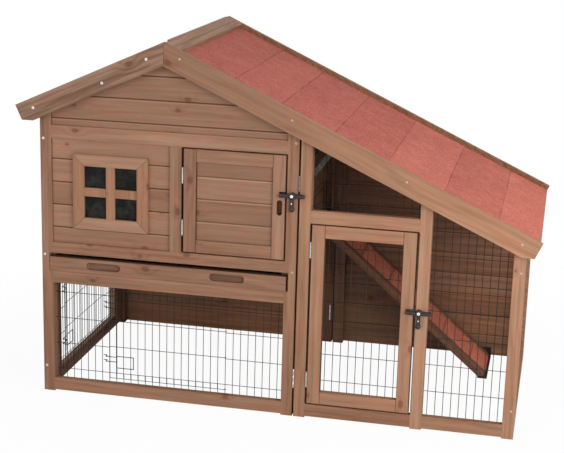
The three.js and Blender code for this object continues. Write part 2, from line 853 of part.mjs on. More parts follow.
// Tray: a wooden front board with two finger slots, and a sheet pan that slides on the rail
// below it and on runners behind that rail
const trayLeft = postWidth - trayRebate + traySideGap;
const trayRight = clearRight + trayRebate - trayRightGap;
const trayBottom = trayFloor + softGap;
function traySlot(x) {
  const z = trayBottom + trayFrontHeight / 2 + 1;
  return slabY(roundedBar(x, z, traySlotLength, traySlotHeight), -1, traySlotDepth);
}
add('tray_front', cut(
  block(trayLeft, trayRight, 0, trayFrontThickness, trayBottom, trayBottom + trayFrontHeight),
  [
    traySlot(trayLeft + traySlotInsetLeft + traySlotLength / 2),
    traySlot(trayRight - traySlotInsetRight - traySlotLength / 2),
  ],
), pine);
const panLeft = postWidth + trayPanInset;
const panRight = clearRight - trayPanInset;
const panBack = backPosts - trayBackGap;
add('tray_pan', cut(
  block(panLeft, panRight, trayFrontThickness, panBack, trayBottom, trayBottom + trayWallHeight),
  [block(
    panLeft + trayWallThickness, panRight - trayWallThickness,
    trayFrontThickness + trayWallThickness, panBack - trayWallThickness,
    trayBottom + trayFloorThickness, trayCeiling,
  )],
), zinc);
const boardsInside = bodyDepth - boardSetback - boardThickness;
const runnerLow = trayFloor - runnerHeight;
const runnerLeft = postWidth + runnerInset;
const runnerRight = clearRight - runnerInset;
add('tray_bottom_rail', fuse([
  rail(postWidth, clearRight, trayRailLow, trayLowRailHeight),
  block(
    runnerLeft, runnerLeft + runnerWidth, railDepth, boardsInside - softGap,
    runnerLow, trayFloor,
  ),
  block(
    runnerRight - runnerWidth, runnerRight, railDepth, boardsInside - softGap,
    runnerLow, trayFloor,
  ),
  block(
    runnerLeft, runnerRight, boardsInside - runnerWidth, boardsInside - softGap,
    runnerLow, trayFloor,
  ),
]), pine);

// House door
const houseDoorLeft = houseDoorwayLeft + hingeGap;
const houseDoorRight = clearRight - doorGap;
const houseDoorLow = houseSill + doorGap;
const houseDoorHigh = beamLow - doorGap;
function doorFrame(left, right, low, high, cuts) {
  return cut(block(left, right, 0, doorThickness, low, high), [
    block(
      left + doorStile, right - doorStile, -1, doorThickness + 1,
      low + doorStile, high - doorStile,
    ),
    ...cuts,
  ]);
}
const fingerSlotX = houseDoorRight - doorStile / 2 + fingerSlotShift;
add('house_door_frame', doorFrame(
  houseDoorLeft, houseDoorRight, houseDoorLow, houseDoorHigh, [
    slabY(
      roundedBar(fingerSlotX, houseSill + fingerSlotRise, fingerSlotWidth, fingerSlotHeight),
      -1, fingerSlotDepth,
    ),
    latchNotch(houseLatchX, houseLatchZ, houseDoorRight),
  ],
), pine);
const doorBoardsLow = houseDoorLow + doorStile;
add('house_door_boards', slabX(
  boardSection(
    doorBoardsLow + softGap, houseDoorHigh - doorStile - softGap,
    doorBoardsLow + doorPanelFirst, doorPanelPitch, doorPanelThickness, doorPanelGroove,
  ).map(([d, z]) => [doorPanelSetback + d, z]),
  houseDoorLeft + doorStile + softGap, houseDoorRight - doorStile - softGap,
), pine);

// Run front
add('run_header_rail', rail(runDoorLeft, middlePost, headerLow, headerHeight), pineLight);
add('run_bottom_rail_left', rail(
  runDoorLeft, middlePost, railGroundGap, bottomRailHeight,
), pineLight);
add('run_bottom_rail_right', rail(bayLeft, bayRight, railGroundGap, bottomRailHeight), pineLight);
const runDoorX = runDoorLeft + hingeGap;
const runDoorEnd = middlePost - hingeGap;
const runDoorLow = bottomRailTop + doorGap;
const runDoorHigh = headerLow - doorGap;
add('run_door_frame', doorFrame(runDoorX, runDoorEnd, runDoorLow, runDoorHigh, [
  latchNotch(runLatchX, runLatchZ, runDoorEnd),
]), pineLight);
const doorNetLeft = runDoorX + doorStile - netLap;
const doorNetRight = runDoorEnd - doorStile + netLap;
const doorNetLow = runDoorLow + doorStile - netLap;
const doorNetHigh = runDoorHigh - doorStile + netLap;
add('run_door_net', net(
  frontWall,
  row(
    runDoorX + doorStile + runDoorWireInset, wirePitch,
    doorNetLeft + doorWireMargin, doorNetRight - doorWireMargin,
  ),
  row(runLowestWire, wireRise, doorNetLow + doorWireMargin, doorNetHigh - doorWireMargin),
  doorNetLeft, () => doorNetRight,
  doorNetLow, () => doorNetHigh,
), blackWire);

// Nets of the run front: the bay on the right, and the one above the header rail
const netTop = (u) => roofLevel(u, seatDepth + wireClearance);
const wireEnd = (limit) => (v) => {
  const rise = ridgeHeight - v - (seatDepth + wireHalfWidth) / Math.cos(roofPitch);
  return Math.min(limit, ridgeX + rise / Math.tan(roofPitch));
};
add('run_net_right', net(
  frontWall,
  row(
    bayLeft + runBayWireInset, wirePitch, bayLeft + wireSideMargin, bayRight - wireSideMargin,
  ),
  row(runLowestWire, wireRise, lowerNetLow, netTop(bayLeft) - wireRise / 4),
  bayLeft + wireEndGap, wireEnd(bayRight - wireEndGap),
  lowerNetLow, netTop,
), blackWire);
add('run_net_top', net(
  frontWall,
  row(
    runDoorLeft + runBayWireInset, wirePitch,
    runDoorLeft + wireSideMargin, middlePost - wireSideMargin,
  ),
  row(headerTop + topNetFirstWire, wireRise, headerTop, netTop(runDoorLeft) - wireRise / 4),
  runDoorLeft + wireEndGap, wireEnd(middlePost - wireEndGap),
  headerTop - netLap, netTop,
), blackWire);

// Ramp from the hatch to the ground: a board between two rails, covered with felt
const rampStart = partitionRight + softGap;
const rampBack = backPosts - rampBackGap;
const rampFront = rampBack - rampWidth;
const rampFoot = rampFootX - rampFootStrip;
const deckLow = rampRailHeight - rampThickness - rampFeltSink - rampFeltThickness;
const deckHigh = deckLow + rampThickness;
function rampPoint(x, up) {
  return [x, (rampFoot - x) * Math.tan(rampAngle) + up / Math.cos(rampAngle)];
}
function rampSlab(end, low, high, front, back) {
  return slabY([
    rampPoint(end, low),
    rampPoint(end, high),
    rampPoint(rampStart, high),
    rampPoint(rampStart, low),
  ], front, back);
}
function rampRail(front) {
  return slabY([
    [rampFoot, 0],
    [rampFootX, 0],
    rampPoint(rampFootX, rampRailHeight),
    rampPoint(rampStart, rampRailHeight),
    rampPoint(rampStart, 0),
  ], front, front + rampRailWidth);
}
add('ramp_board', fuse([
  rampRail(rampFront),
  rampRail(rampBack - rampRailWidth),
  rampSlab(rampFootX, deckLow, deckHigh, rampFront + 1, rampBack - 1),
]), pineDark);
const feltTop = deckHigh + softGap + rampFeltThickness;
function rampRung(i) {
  const x = rampStart + ((rampFootX - rampStart) * (i + 0.4)) / rampRungs;
  return slabY([
    rampPoint(x, feltTop - 1),
    rampPoint(x + rampRungWidth, feltTop - 1),
    rampPoint(x + rampRungWidth - rampRungTaper, feltTop + rampRungProud),
    rampPoint(x + rampRungTaper, feltTop + rampRungProud),
  ], rampFront + rampRailWidth + softGap, rampBack - rampRailWidth - softGap);
}
add('ramp_felt', fuse([
  rampSlab(
    rampFootX, deckHigh + softGap, feltTop,
    rampFront + rampRailWidth + softGap, rampBack - rampRailWidth - softGap,
  ),
  ...Array.from({ length: rampRungs }, (_, i) => rampRung(i)),
]), felt);

// Roof: for each side a panel of boards on battens with its rear barge board, felt and a
// front barge board; a capping strip lies along the ridge on the right
function slopeSlab(side, from, to, top, bottom, front, back) {
  const start = from > 0
    ? [onSlope(side, from, top), onSlope(side, from, bottom)]
    : [besideRidge(side, hingeSlot, top), besideRidge(side, hingeSlot, bottom)];
  return slabY(
    [start[0], onSlope(side, to, top), onSlope(side, to, bottom), start[1]],
    front, back,
  );
}
function bargeBoard(side, length, front) {
  const under = length - (bargeWidth - bargeEndDepth) / Math.tan(roofPitch);
  return slabY([
    besideRidge(side, mitreGap / 2, 0),
    onSlope(side, length, 0),
    onSlope(side, length, bargeEndDepth),
    onSlope(side, under, bargeWidth),
    besideRidge(side, mitreGap / 2, bargeWidth),
  ], front, front + bargeThickness);
}
function roofPanel(side, length, battens) {
  const bars = battens.map((along) => slopeSlab(
    side, along - battenWidth / 2, along + battenWidth / 2, deckUnder - 1, battenUnder,
    battenFront, bodyDepth - battenFront,
  ));
  return fuse([
    slopeSlab(side, 0, length - eaveInset, deckTop, deckUnder, deckFront, deckBack + 1),
    ...bars,
    bargeBoard(side, length, deckBack),
  ]);
}
function roofFelt(side, length) {
  const lip = length - eaveInset + softGap;
  return slabY([
    besideRidge(side, hingeSlot, feltDepth),
    onSlope(side, length, feltDepth),
    onSlope(side, length, deckUnder),
    onSlope(side, lip, deckUnder),
    onSlope(side, lip, feltUnder),
    besideRidge(side, hingeSlot, feltUnder),
  ], deckFront, deckBack - softGap);
}
const stayDepth = deckUnder + battenThickness / 2;
const stayLevel = partitionRight + stayFromPartition - ridgeX;
const stayBatten = stayLevel / Math.cos(roofPitch) + stayDepth * Math.tan(roofPitch);
const [stayX, stayZ] = onSlope(1, stayBatten, stayDepth);
const lastLeftBatten = leftLength - leftEaveBattenInset;
const lastRightBatten = rightLength - rightEaveBattenInset;
const leftBattens = [ridgeBatten, (ridgeBatten + lastLeftBatten) / 2, lastLeftBatten];
const rightBattens = [
  ridgeBatten, (ridgeBatten + stayBatten) / 2, stayBatten,
  (stayBatten + lastRightBatten) / 2, lastRightBatten,
];
add('roof_left_panel', roofPanel(-1, leftLength, leftBattens), pineDark);
add('roof_left_felt', roofFelt(-1, leftLength), felt);
add('barge_front_left', bargeBoard(-1, leftLength, bargeFront), pine);
add('roof_right_panel', cut(roofPanel(1, rightLength, rightBattens), [
  cylinder(
    [stayX, battenFront - 1, stayZ], [stayX, battenFront + stayPinDepth + 1, stayZ], stayBore,
  ),
]), pineDark);
add('roof_right_felt', roofFelt(1, rightLength), felt);
add('barge_front_right', bargeBoard(1, rightLength, bargeFront), pineLight);
add('ridge_strip', slopeSlab(
  1, 0, ridgeStripWidth, feltDepth - softGap - ridgeStripThickness, feltDepth - softGap,
  deckFront, deckBack - softGap,
), pineLight);

// Door hinges, each in two leaves, and one long hinge whose axis is the ridge
const houseHingeX = houseDoorwayLeft + hingeGap / 2;
const runHingeX = runDoorLeft + hingeGap / 2;
const houseHingeLow = houseSill + houseHingeRise;
const houseHingeHigh = beamLow - houseHingeDrop - hingeLength;
const runHingeLow = bottomRailTop + runHingeRise;
const runHingeHigh = headerLow - runHingeDrop - hingeLength;
add('house_hinge_post_lower', doorHinge(houseHingeX, houseHingeLow, -1), zinc);
add('house_hinge_post_upper', doorHinge(houseHingeX, houseHingeHigh, -1), zinc);
add('house_hinge_door_lower', doorHinge(houseHingeX, houseHingeLow, 1), zinc);
add('house_hinge_door_upper', doorHinge(houseHingeX, houseHingeHigh, 1), zinc);
add('run_hinge_post_lower', doorHinge(runHingeX, runHingeLow, -1), zinc);
add('run_hinge_post_upper', doorHinge(runHingeX, runHingeHigh, -1), zinc);
add('run_hinge_door_lower', doorHinge(runHingeX, runHingeLow, 1), zinc);
add('run_hinge_door_upper', doorHinge(runHingeX, runHingeHigh, 1), zinc);
function ridgeHinge(side) {
  const length = bodyDepth - 2 * ridgeHingeInset;
  const leaf = hingeLeaf(length, ridgeKnuckles, side, 2 * hingeSlot, ridgeLeafDepth);
  const frame = new THREE.Matrix4().makeBasis(X, Z.clone().negate(), Y);
  return leaf.applyMatrix4(frame.setPosition(ridgeX, ridgeHingeInset, ridgeHeight));
}
add('roof_hinge_fixed_leaf', ridgeHinge(-1), zinc);
add('roof_hinge_lid_leaf', ridgeHinge(1), zinc);

// Turn latches
add('house_latch', turnLatch(houseLatchX, houseLatchZ), blackPlastic);
add('run_latch', turnLatch(runLatchX, runLatchZ), blackPlastic);

// Lid stay: an arm that swings on a pin in the end of a batten
function roofStay() {
  const back = battenFront - softGap;
  const lowerX = stayX - stayLength * Math.cos(stayAngle);
  const lowerZ = stayZ - stayLength * Math.sin(stayAngle);
  const middleX = (stayX + lowerX) / 2;
  const middleZ = (stayZ + lowerZ) / 2;
  const outline = roundedBar(0, 0, stayLength + stayWidth, stayWidth).map(([a, b]) => [
    middleX + a * Math.cos(stayAngle) - b * Math.sin(stayAngle),
    middleZ + a * Math.sin(stayAngle) + b * Math.cos(stayAngle),
  ]);
  const arm = slabY(outline, back - stayThickness, back);
  const hole = slabY(disc(lowerX, lowerZ, stayPin), back - stayThickness - 1, back + 1);
  return fuse([
    cut(arm, [hole]),
    cylinder([stayX, back - 1, stayZ], [stayX, battenFront + stayPinDepth, stayZ], stayPin),
  ]);
}
add('roof_stay', roofStay(), zinc);

// The origin lies at the middle of the ground area that the roof covers
const group = new THREE.Group();
model.position.set(-(ridgeX + (rightReach - leftReach) / 2), -bodyDepth / 2, 0);
group.add(model);

export default group;
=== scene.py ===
"""Looks of the rabbit hutch with its run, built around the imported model. Metres, row frame."""
import math
import random

import bmesh
import bpy
from mathutils import Matrix, Vector


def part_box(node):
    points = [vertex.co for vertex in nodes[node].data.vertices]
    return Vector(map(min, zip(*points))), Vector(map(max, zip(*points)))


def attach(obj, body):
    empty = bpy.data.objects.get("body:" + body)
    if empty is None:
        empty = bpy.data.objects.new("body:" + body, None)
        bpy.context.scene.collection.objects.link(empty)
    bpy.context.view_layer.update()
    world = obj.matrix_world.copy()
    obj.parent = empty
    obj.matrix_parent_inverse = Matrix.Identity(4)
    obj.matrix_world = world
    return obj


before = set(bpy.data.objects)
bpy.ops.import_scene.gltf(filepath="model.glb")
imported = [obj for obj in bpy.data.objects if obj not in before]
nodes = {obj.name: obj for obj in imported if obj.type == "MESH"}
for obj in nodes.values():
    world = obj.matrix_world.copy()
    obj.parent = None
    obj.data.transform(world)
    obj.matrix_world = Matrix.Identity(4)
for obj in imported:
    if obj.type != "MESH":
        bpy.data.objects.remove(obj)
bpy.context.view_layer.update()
rng = random.Random(7)

# Pieces are laid out in millimetres: x from the outer face of the front left post, y back from
# the posts' fronts, z up. This is the middle of the object's ground area in those millimetres.
MID_X, MID_Y = 680.5, 345.0
RIDGE_X = 370.0
ROOF_PITCH = math.radians(24.6)
RAMP_ANGLE = math.radians(40)

WHITE = (1, 1, 1)
TO_FRONT = (0, -1, 0)


def mm(length):
    """Millimetres as metres."""
    return length / 1000


def row_x(x):
    return mm(x - MID_X)


def row_y(y):
    return mm(y - MID_Y)


def at(x, y, z):
    """A place of the layout, as the row frame has it."""
    return Vector((row_x(x), row_y(y), mm(z)))


def srgb(r, g, b):
    """A colour given in screen values from 0 to 255, as linear light."""
    def straight(c):
        c /= 255
        return c / 12.92 if c <= 0.04045 else ((c + 0.055) / 1.055) ** 2.4
    return straight(r), straight(g), straight(b)


def scaled(color, gain):
    return tuple(c * gain for c in color)


def tinted(color, gains):
    return tuple(c * gain for c, gain in zip(color, gains))


# ------------------------------------------------------------------ node helpers

class Graph:
    """Adds nodes to an emptied node tree and wires them. A value is a socket or a number."""

    def __init__(self, owner):
        owner.use_nodes = True
        self.tree = owner.node_tree
        self.tree.nodes.clear()

    def new(self, kind, **settings):
        node = self.tree.nodes.new(kind)
        for key, value in settings.items():
            setattr(node, key, value)
        return node

    def link(self, a, b):
        self.tree.links.new(a, b)

    def feed(self, socket, value):
        if isinstance(value, bpy.types.NodeSocket):
            self.link(value, socket)
        elif isinstance(value, (tuple, list, Vector)) and len(socket.default_value) == 4:
            socket.default_value = tuple(value)[:3] + (1.0,)
        else:
            socket.default_value = value

    def shader(self, kind, **values):
        """A shader with the inputs of these names set."""
        node = self.new(kind)
        for key, value in values.items():
            self.feed(node.inputs[key], value)
        return node.outputs[0]

    def mix_shader(self, factor, a, b):
        node = self.new("ShaderNodeMixShader")
        self.feed(node.inputs["Fac"], factor)
        self.link(a, node.inputs[1])
        self.link(b, node.inputs[2])
        return node.outputs[0]

    def math(self, operation, a, b=0.0, c=None, clamp=False):
        node = self.new("ShaderNodeMath", operation=operation, use_clamp=clamp)
        self.feed(node.inputs[0], a)
        self.feed(node.inputs[1], b)
        if c is not None:
            self.feed(node.inputs[2], c)
        return node.outputs[0]

    def times(self, a, b):
        return self.math("MULTIPLY", a, b)

    def minus(self, a, b):
        return self.math("SUBTRACT", a, b)

    def add(self, first, *others, clamp=False):
        """The sum of two or more values, the last step of it held within 0 and 1 if clamp is set."""
        total = first
        for i, value in enumerate(others):
            total = self.math("ADD", total, value, clamp=clamp and i == len(others) - 1)
        return total

    def swing(self, value, gain, middle=0.5):
        """How far a value is from its middle, times a gain."""
        return self.times(self.minus(value, middle), gain)

    def steps(self, value, low, high, to_low=0.0, to_high=1.0, smooth=True):
        """Takes low..high to to_low..to_high and holds the ends."""
        node = self.new("ShaderNodeMapRange", interpolation_type="SMOOTHSTEP" if smooth else "LINEAR")
        self.feed(node.inputs[0], value)
        for i, number in enumerate((low, high, to_low, to_high), start=1):
            node.inputs[i].default_value = number
        return node.outputs[0]

    def inside(self, value, low, high):
        """1 where low < value < high, else 0."""
        return self.times(self.math("GREATER_THAN", value, low), self.math("LESS_THAN", value, high))

    def vector_math(self, operation, a, b=None):
        node = self.new("ShaderNodeVectorMath", operation=operation)
        self.feed(node.inputs[0], a)
        if b is not None:
            self.feed(node.inputs[1], b)
        return node.outputs["Value" if operation in ("DOT_PRODUCT", "LENGTH") else "Vector"]

    def combine(self, x, y, z):
        node = self.new("ShaderNodeCombineXYZ")
        for socket, value in zip(node.inputs, (x, y, z)):
            self.feed(socket, value)
        return node.outputs[0]

    def split(self, color):
        node = self.new("ShaderNodeSeparateColor")
        self.link(color, node.inputs[0])
        return node.outputs

    def mix(self, factor, a, b, blend="MIX"):
        node = self.new("ShaderNodeMix", data_type="RGBA", blend_type=blend)
        self.feed(node.inputs[0], factor)
        self.feed(node.inputs[6], a)
        self.feed(node.inputs[7], b)
        return node.outputs[2]

    def tint(self, factor, color, gains):
        """A colour multiplied by gains, as far as the factor says."""
        return self.mix(factor, color, gains, "MULTIPLY")

    def blend_vector(self, factor, a, b):
        node = self.new("ShaderNodeMix", data_type="VECTOR")
        self.feed(node.inputs[0], factor)
        self.feed(node.inputs[4], a)
        self.feed(node.inputs[5], b)
        return node.outputs[1]

    def dice(self, number):
        """A random value and a random colour that belong to a number."""
        node = self.new("ShaderNodeTexWhiteNoise", noise_dimensions="1D")
        self.feed(node.inputs["W"], number)
        return node.outputs["Value"], node.outputs["Color"]


class Sheet(Graph):
    """One surface material: a principled shader, and where a point is in the row frame."""

    def __init__(self, name):
        self.mat = bpy.data.materials.new(name)
        super().__init__(self.mat)
        out = self.new("ShaderNodeOutputMaterial")
        self.bsdf = self.new("ShaderNodeBsdfPrincipled")
        self.link(self.bsdf.outputs[0], out.inputs["Surface"])
        self.where = self.new("ShaderNodeTexCoord").outputs["Object"]
        separate = self.new("ShaderNodeSeparateXYZ")
        self.link(self.where, separate.inputs[0])
        self.parts = separate.outputs

    def noise(self, scale, detail, rough, vector=None):
        node = self.new("ShaderNodeTexNoise", noise_dimensions="3D")
        self.link(vector or self.where, node.inputs["Vector"])
        node.inputs["Scale"].default_value = scale
        node.inputs["Detail"].default_value = detail
        node.inputs["Roughness"].default_value = rough
        return node.outputs[0]

    def rounded(self, radius):
        """The surface's normal with its edges rounded by a radius."""
        node = self.new("ShaderNodeBevel", samples=4)
        node.inputs["Radius"].default_value = radius
        return node.outputs[0]

    def bump(self, height, strength, distance, normal=None):
        node = self.new("ShaderNodeBump")
        node.inputs["Strength"].default_value = strength
        node.inputs["Distance"].default_value = distance
        self.link(height, node.inputs["Height"])
        if normal is not None:
            self.link(normal, node.inputs["Normal"])
        return node.outputs[0]

    def surface(self, **values):
        """Sets or links inputs of the principled shader, named with _ for a blank."""
        for key, value in values.items():
            self.feed(self.bsdf.inputs[key.replace("_", " ")], value)
        return self.mat


# ------------------------------------------------------------------ camera, light, floor

def add_camera():
    data = bpy.data.cameras.new("camera")
    data.sensor_width = 36.0
    data.lens = 87.28
    data.clip_start = 0.05
    data.clip_end = 60.0
    cam = bpy.data.objects.new("camera", data)
    bpy.context.scene.collection.objects.link(cam)
    place = (0.7706, -3.9478, 1.5304)
    right = Vector((0.97764179, 0.20851797, 0.02714393))
    up = Vector((-0.07886622, 0.24394154, 0.9665778))
    back = Vector((0.19492731, -0.94710759, 0.25493247))
    turn = Matrix((right, up, back)).transposed().to_4x4()
    cam.matrix_world = Matrix.Translation(place) @ turn
    bpy.context.scene.camera = cam


def area_lamp(name, place, target, size, watts):
    data = bpy.data.lights.new(name, "AREA")
    data.shape = "SQUARE"
    data.size = size
    data.energy = watts
    lamp = bpy.data.objects.new(name, data)
    bpy.context.scene.collection.objects.link(lamp)
    lamp.location = place
    lamp.rotation_euler = (Vector(target) - Vector(place)).to_track_quat("-Z", "Y").to_euler()
    lamp.visible_camera = False


def add_world():
    """White all round: full to the camera, in reflections and through panes, half as a light."""
    world = bpy.data.worlds.new("studio")
    bpy.context.scene.world = world
    g = Graph(world)
    out = g.new("ShaderNodeOutputWorld")
    light = g.shader("ShaderNodeBackground", Color=WHITE, Strength=0.5)
    seen = g.shader("ShaderNodeBackground", Color=WHITE, Strength=1.0)
    rays = g.new("ShaderNodeLightPath").outputs
    direct = g.math("MAXIMUM", rays["Is Camera Ray"], rays["Is Glossy Ray"])
    direct = g.math("MAXIMUM", direct, rays["Is Transmission Ray"])
    g.link(g.mix_shader(direct, light, seen), out.inputs["Surface"])


def add_floor():
    """White paper. The camera sees it as white, with a little of its real shade near the middle."""
    mesh = bpy.data.meshes.new("floor")
    form = bmesh.new()
    bmesh.ops.create_grid(form, x_segments=8, y_segments=8, size=14.0)
    form.to_mesh(mesh)
    form.free()
    floor = bpy.data.objects.new("floor", mesh)
    bpy.context.scene.collection.objects.link(floor)
    mat = bpy.data.materials.new("floor_paper")
    g = Graph(mat)
    out = g.new("ShaderNodeOutputMaterial")
    paper = g.shader("ShaderNodeBsdfDiffuse", Color=(0.86, 0.86, 0.86))
    lit = g.shader("ShaderNodeEmission", Color=WHITE, Strength=1.0)
    reach = g.vector_math("LENGTH", g.new("ShaderNodeTexCoord").outputs["Object"])
    shade_ends = (0.75, 1.7)
    whiteness = (0.95, 1.0)
    seen = g.mix_shader(g.steps(reach, *shade_ends, *whiteness), paper, lit)
    by_camera = g.new("ShaderNodeLightPath").outputs["Is Camera Ray"]
    g.link(g.mix_shader(by_camera, paper, seen), out.inputs["Surface"])
    mesh.materials.append(mat)


add_camera()
add_world()
add_floor()
area_lamp("key", place=(2.3, -2.6, 1.5), target=(0.4, 0.0, 0.4), size=1.7, watts=62)
area_lamp("fill", place=(-1.8, -3.8, 1.7), target=(-0.2, 0.0, 0.5), size=2.2, watts=34)
area_lamp("top", place=(1.9, -0.6, 3.1), target=(0.2, 0.0, 0.6), size=1.8, watts=30)


# ------------------------------------------------------------------ wood

# Grain runs along "x", "y" or "z", or along a slope of the roof or the ramp: a unit vector.
AXES = {"x": (1, 0, 0), "y": (0, 1, 0), "z": (0, 0, 1)}
SLOPE_RIGHT = (math.cos(ROOF_PITCH), 0, -math.sin(ROOF_PITCH))
SLOPE_LEFT = (math.cos(ROOF_PITCH), 0, math.sin(ROOF_PITCH))
SLOPE_RAMP = (math.cos(RAMP_ANGLE), 0, -math.sin(RAMP_ANGLE))


def in_row(axis, value):
    """A place in mm along an axis, as the row frame has it."""
    return {"x": row_x, "y": row_y, "z": mm}[axis](value)


class Timber(Sheet):
    """A sheet that knows how the grain runs, which piece of timber a point is in and its joints."""

    def __init__(self, name, grain, seed):
        super().__init__(name)
        self.flow = self.along(grain)
        self.piece = seed
        self.dark_line = 0.0
        self.lip_highlight = 0.0

    def part(self, axis):
        return self.parts["xyz".index(axis)]

    def within(self, ranges):
        """1 inside all of the ranges {axis: (from, to) in mm}, else 0."""
        hit = 1.0
        for axis, (low, high) in ranges.items():
            hit = self.times(hit, self.inside(self.part(axis), in_row(axis, low), in_row(axis, high)))
        return hit

    def along(self, grain):
        """Coordinates along the grain, across it and through the depth of the timber."""
        d = Vector(AXES.get(grain, grain)).normalized()
        side = d.cross(Vector(AXES["y"]))
        if side.length < 0.2:
            side = Vector(AXES["z"])
        side.normalize()
        other = d.cross(side).normalized()
        return self.combine(*(self.vector_math("DOT_PRODUCT", self.where, v) for v in (d, side, other)))

    def next_piece(self, hit, number):
        self.piece = self.add(self.piece, self.times(hit, number))

    def mitred_frame(self, left, right, low, high):
        """A frame round an opening, with joints on the diagonals of its corners."""
        x, z = self.part("x"), self.part("z")
        side = self.math("MINIMUM", self.minus(x, row_x(left)), self.minus(row_x(right), x))
        cap = self.math("MINIMUM", self.minus(z, mm(low)), self.minus(mm(high), z))
        upright = self.math("LESS_THAN", side, cap)
        self.flow = self.blend_vector(upright, self.flow, self.along("z"))
        self.next_piece(upright, 2.9)
        gap = self.math("ABSOLUTE", self.minus(side, cap))
        frame_width = 0.034
        self.dark_line = self.times(self.steps(gap, 0.0016, 0.0005, 0.0, 0.6),
                                    self.math("LESS_THAN", side, frame_width))

    def zones(self, zones):
        """Parts of the solid that are timbers of their own."""
        for i, (ranges, grain) in enumerate(zones):
            hit = self.within(ranges)
            self.flow = self.blend_vector(hit, self.flow, self.along(grain))
            self.next_piece(hit, 1.37 * (i + 1))

    def boards(self, axis, first, pitch):
        """Boards of one width side by side, with a dark joint and a pale lip on the board below.

        The joint is dark up to 0.7 mm from its middle and gone at 1.9 mm. The pale lip is a
        painted highlight on the top edge of the board below, from 1.6 to 7 mm below the joint.
        """
        count = self.math("DIVIDE", self.minus(self.part(axis), in_row(axis, first)), mm(pitch))
        self.next_piece(self.math("FLOOR", count), 0.731)
        step = self.math("FRACT", count)
        gap = self.math("MINIMUM", step, self.minus(1.0, step))
        self.dark_line = self.steps(gap, 1.9 / pitch, 0.7 / pitch)
        self.lip_highlight = self.times(self.steps(step, 1 - 7 / pitch, 1 - 3 / pitch),
                                    self.steps(step, 1 - 1.6 / pitch, 1 - 2.6 / pitch))

    def draw_luck(self):
        """Gives each piece its luck, and a place of its own in the pattern of the grain."""
        self.luck, luck_color = self.dice(self.piece)
        self.warm = self.split(luck_color)
        shift = self.combine(self.times(self.luck, 17.0), self.times(self.luck, 5.0), self.luck)
        self.base = self.vector_math("ADD", self.flow, shift)

    def stretched(self, u, v, w):
        return self.vector_math("MULTIPLY", self.base, (u, v, w))

    def grain_noise(self, stretch, detail, rough):
        """Noise stretched along the grain: the larger a number, the finer it is that way."""
        return self.noise(1.0, detail, rough, self.stretched(*stretch))

    def knots(self, share):
        """Knots in a share of the cells of a flat pattern, and the halo round each.

        They run through the depth of the timber.
        """
        cells = self.new("ShaderNodeTexVoronoi", voronoi_dimensions="2D", feature="F1")
        cells.inputs["Scale"].default_value = 1.0
        cells.inputs["Randomness"].default_value = 0.85
        cells_along, cells_across = 6.5, 10.0
        self.link(self.stretched(cells_along, cells_across, 0.0), cells.inputs["Vector"])
        chance, size = self.split(cells.outputs["Color"])[:2]
        chosen = self.math("GREATER_THAN", chance, 1.0 - share)
        radius = self.steps(size, 0.0, 1.0, 0.045, 0.1, smooth=False)
        ratio = self.math("DIVIDE", cells.outputs["Distance"], radius)
        knot = self.times(self.steps(ratio, 0.55, 1.15, 1.0, 0.0), chosen)
        halo = self.times(self.steps(ratio, 0.8, 3.6, 1.0, 0.0), chosen)
        return knot, halo

    def growth_lines(self, halo):
        """Bands across the grain that bend round the knots."""
        bend = self.grain_noise((1.6, 7.0, 7.0), detail=3.0, rough=0.5)
        across = self.new("ShaderNodeSeparateXYZ")
        self.link(self.base, across.inputs[0])
        phase = self.add(self.times(across.outputs[1], 120.0), self.times(across.outputs[2], 160.0),
                         self.times(bend, 17.0), self.times(halo, 2.6))
        return self.steps(self.math("SINE", self.times(phase, 2.0)), -0.2, 1.0)

    def worn_and_highlit_edges(self, normal):
        """Where the edges are worn pale in patches, which also stands as a painted highlight along them.
        normal is the one with rounded edges.
        """
        flat = self.new("ShaderNodeNewGeometry").outputs["True Normal"]
        edge = self.steps(self.vector_math("DOT_PRODUCT", normal, flat), 0.995, 0.8)
        patchy = self.steps(self.noise(38.0, detail=3.0, rough=0.6), 0.38, 0.62)
        return self.times(edge, self.math("MULTIPLY_ADD", patchy, 0.34, 0.06))

    def draw_lines(self, lines):
        """Adds joints to the dark lines: (axis, place, width, across axis, (from, to)) in mm.

        A line is gone at its width from the middle, and at its darkest within 1/3.5 of that.
        """
        strength = 0.82
        for axis, place, width, over, ends in lines:
            near = self.math("ABSOLUTE", self.minus(self.part(axis), in_row(axis, place)))
            line = self.steps(near, width / 1000, width / 3500)
            line = self.times(line, self.times(self.within({over: ends}), strength))
            self.dark_line = self.math("MAXIMUM", self.dark_line, line)


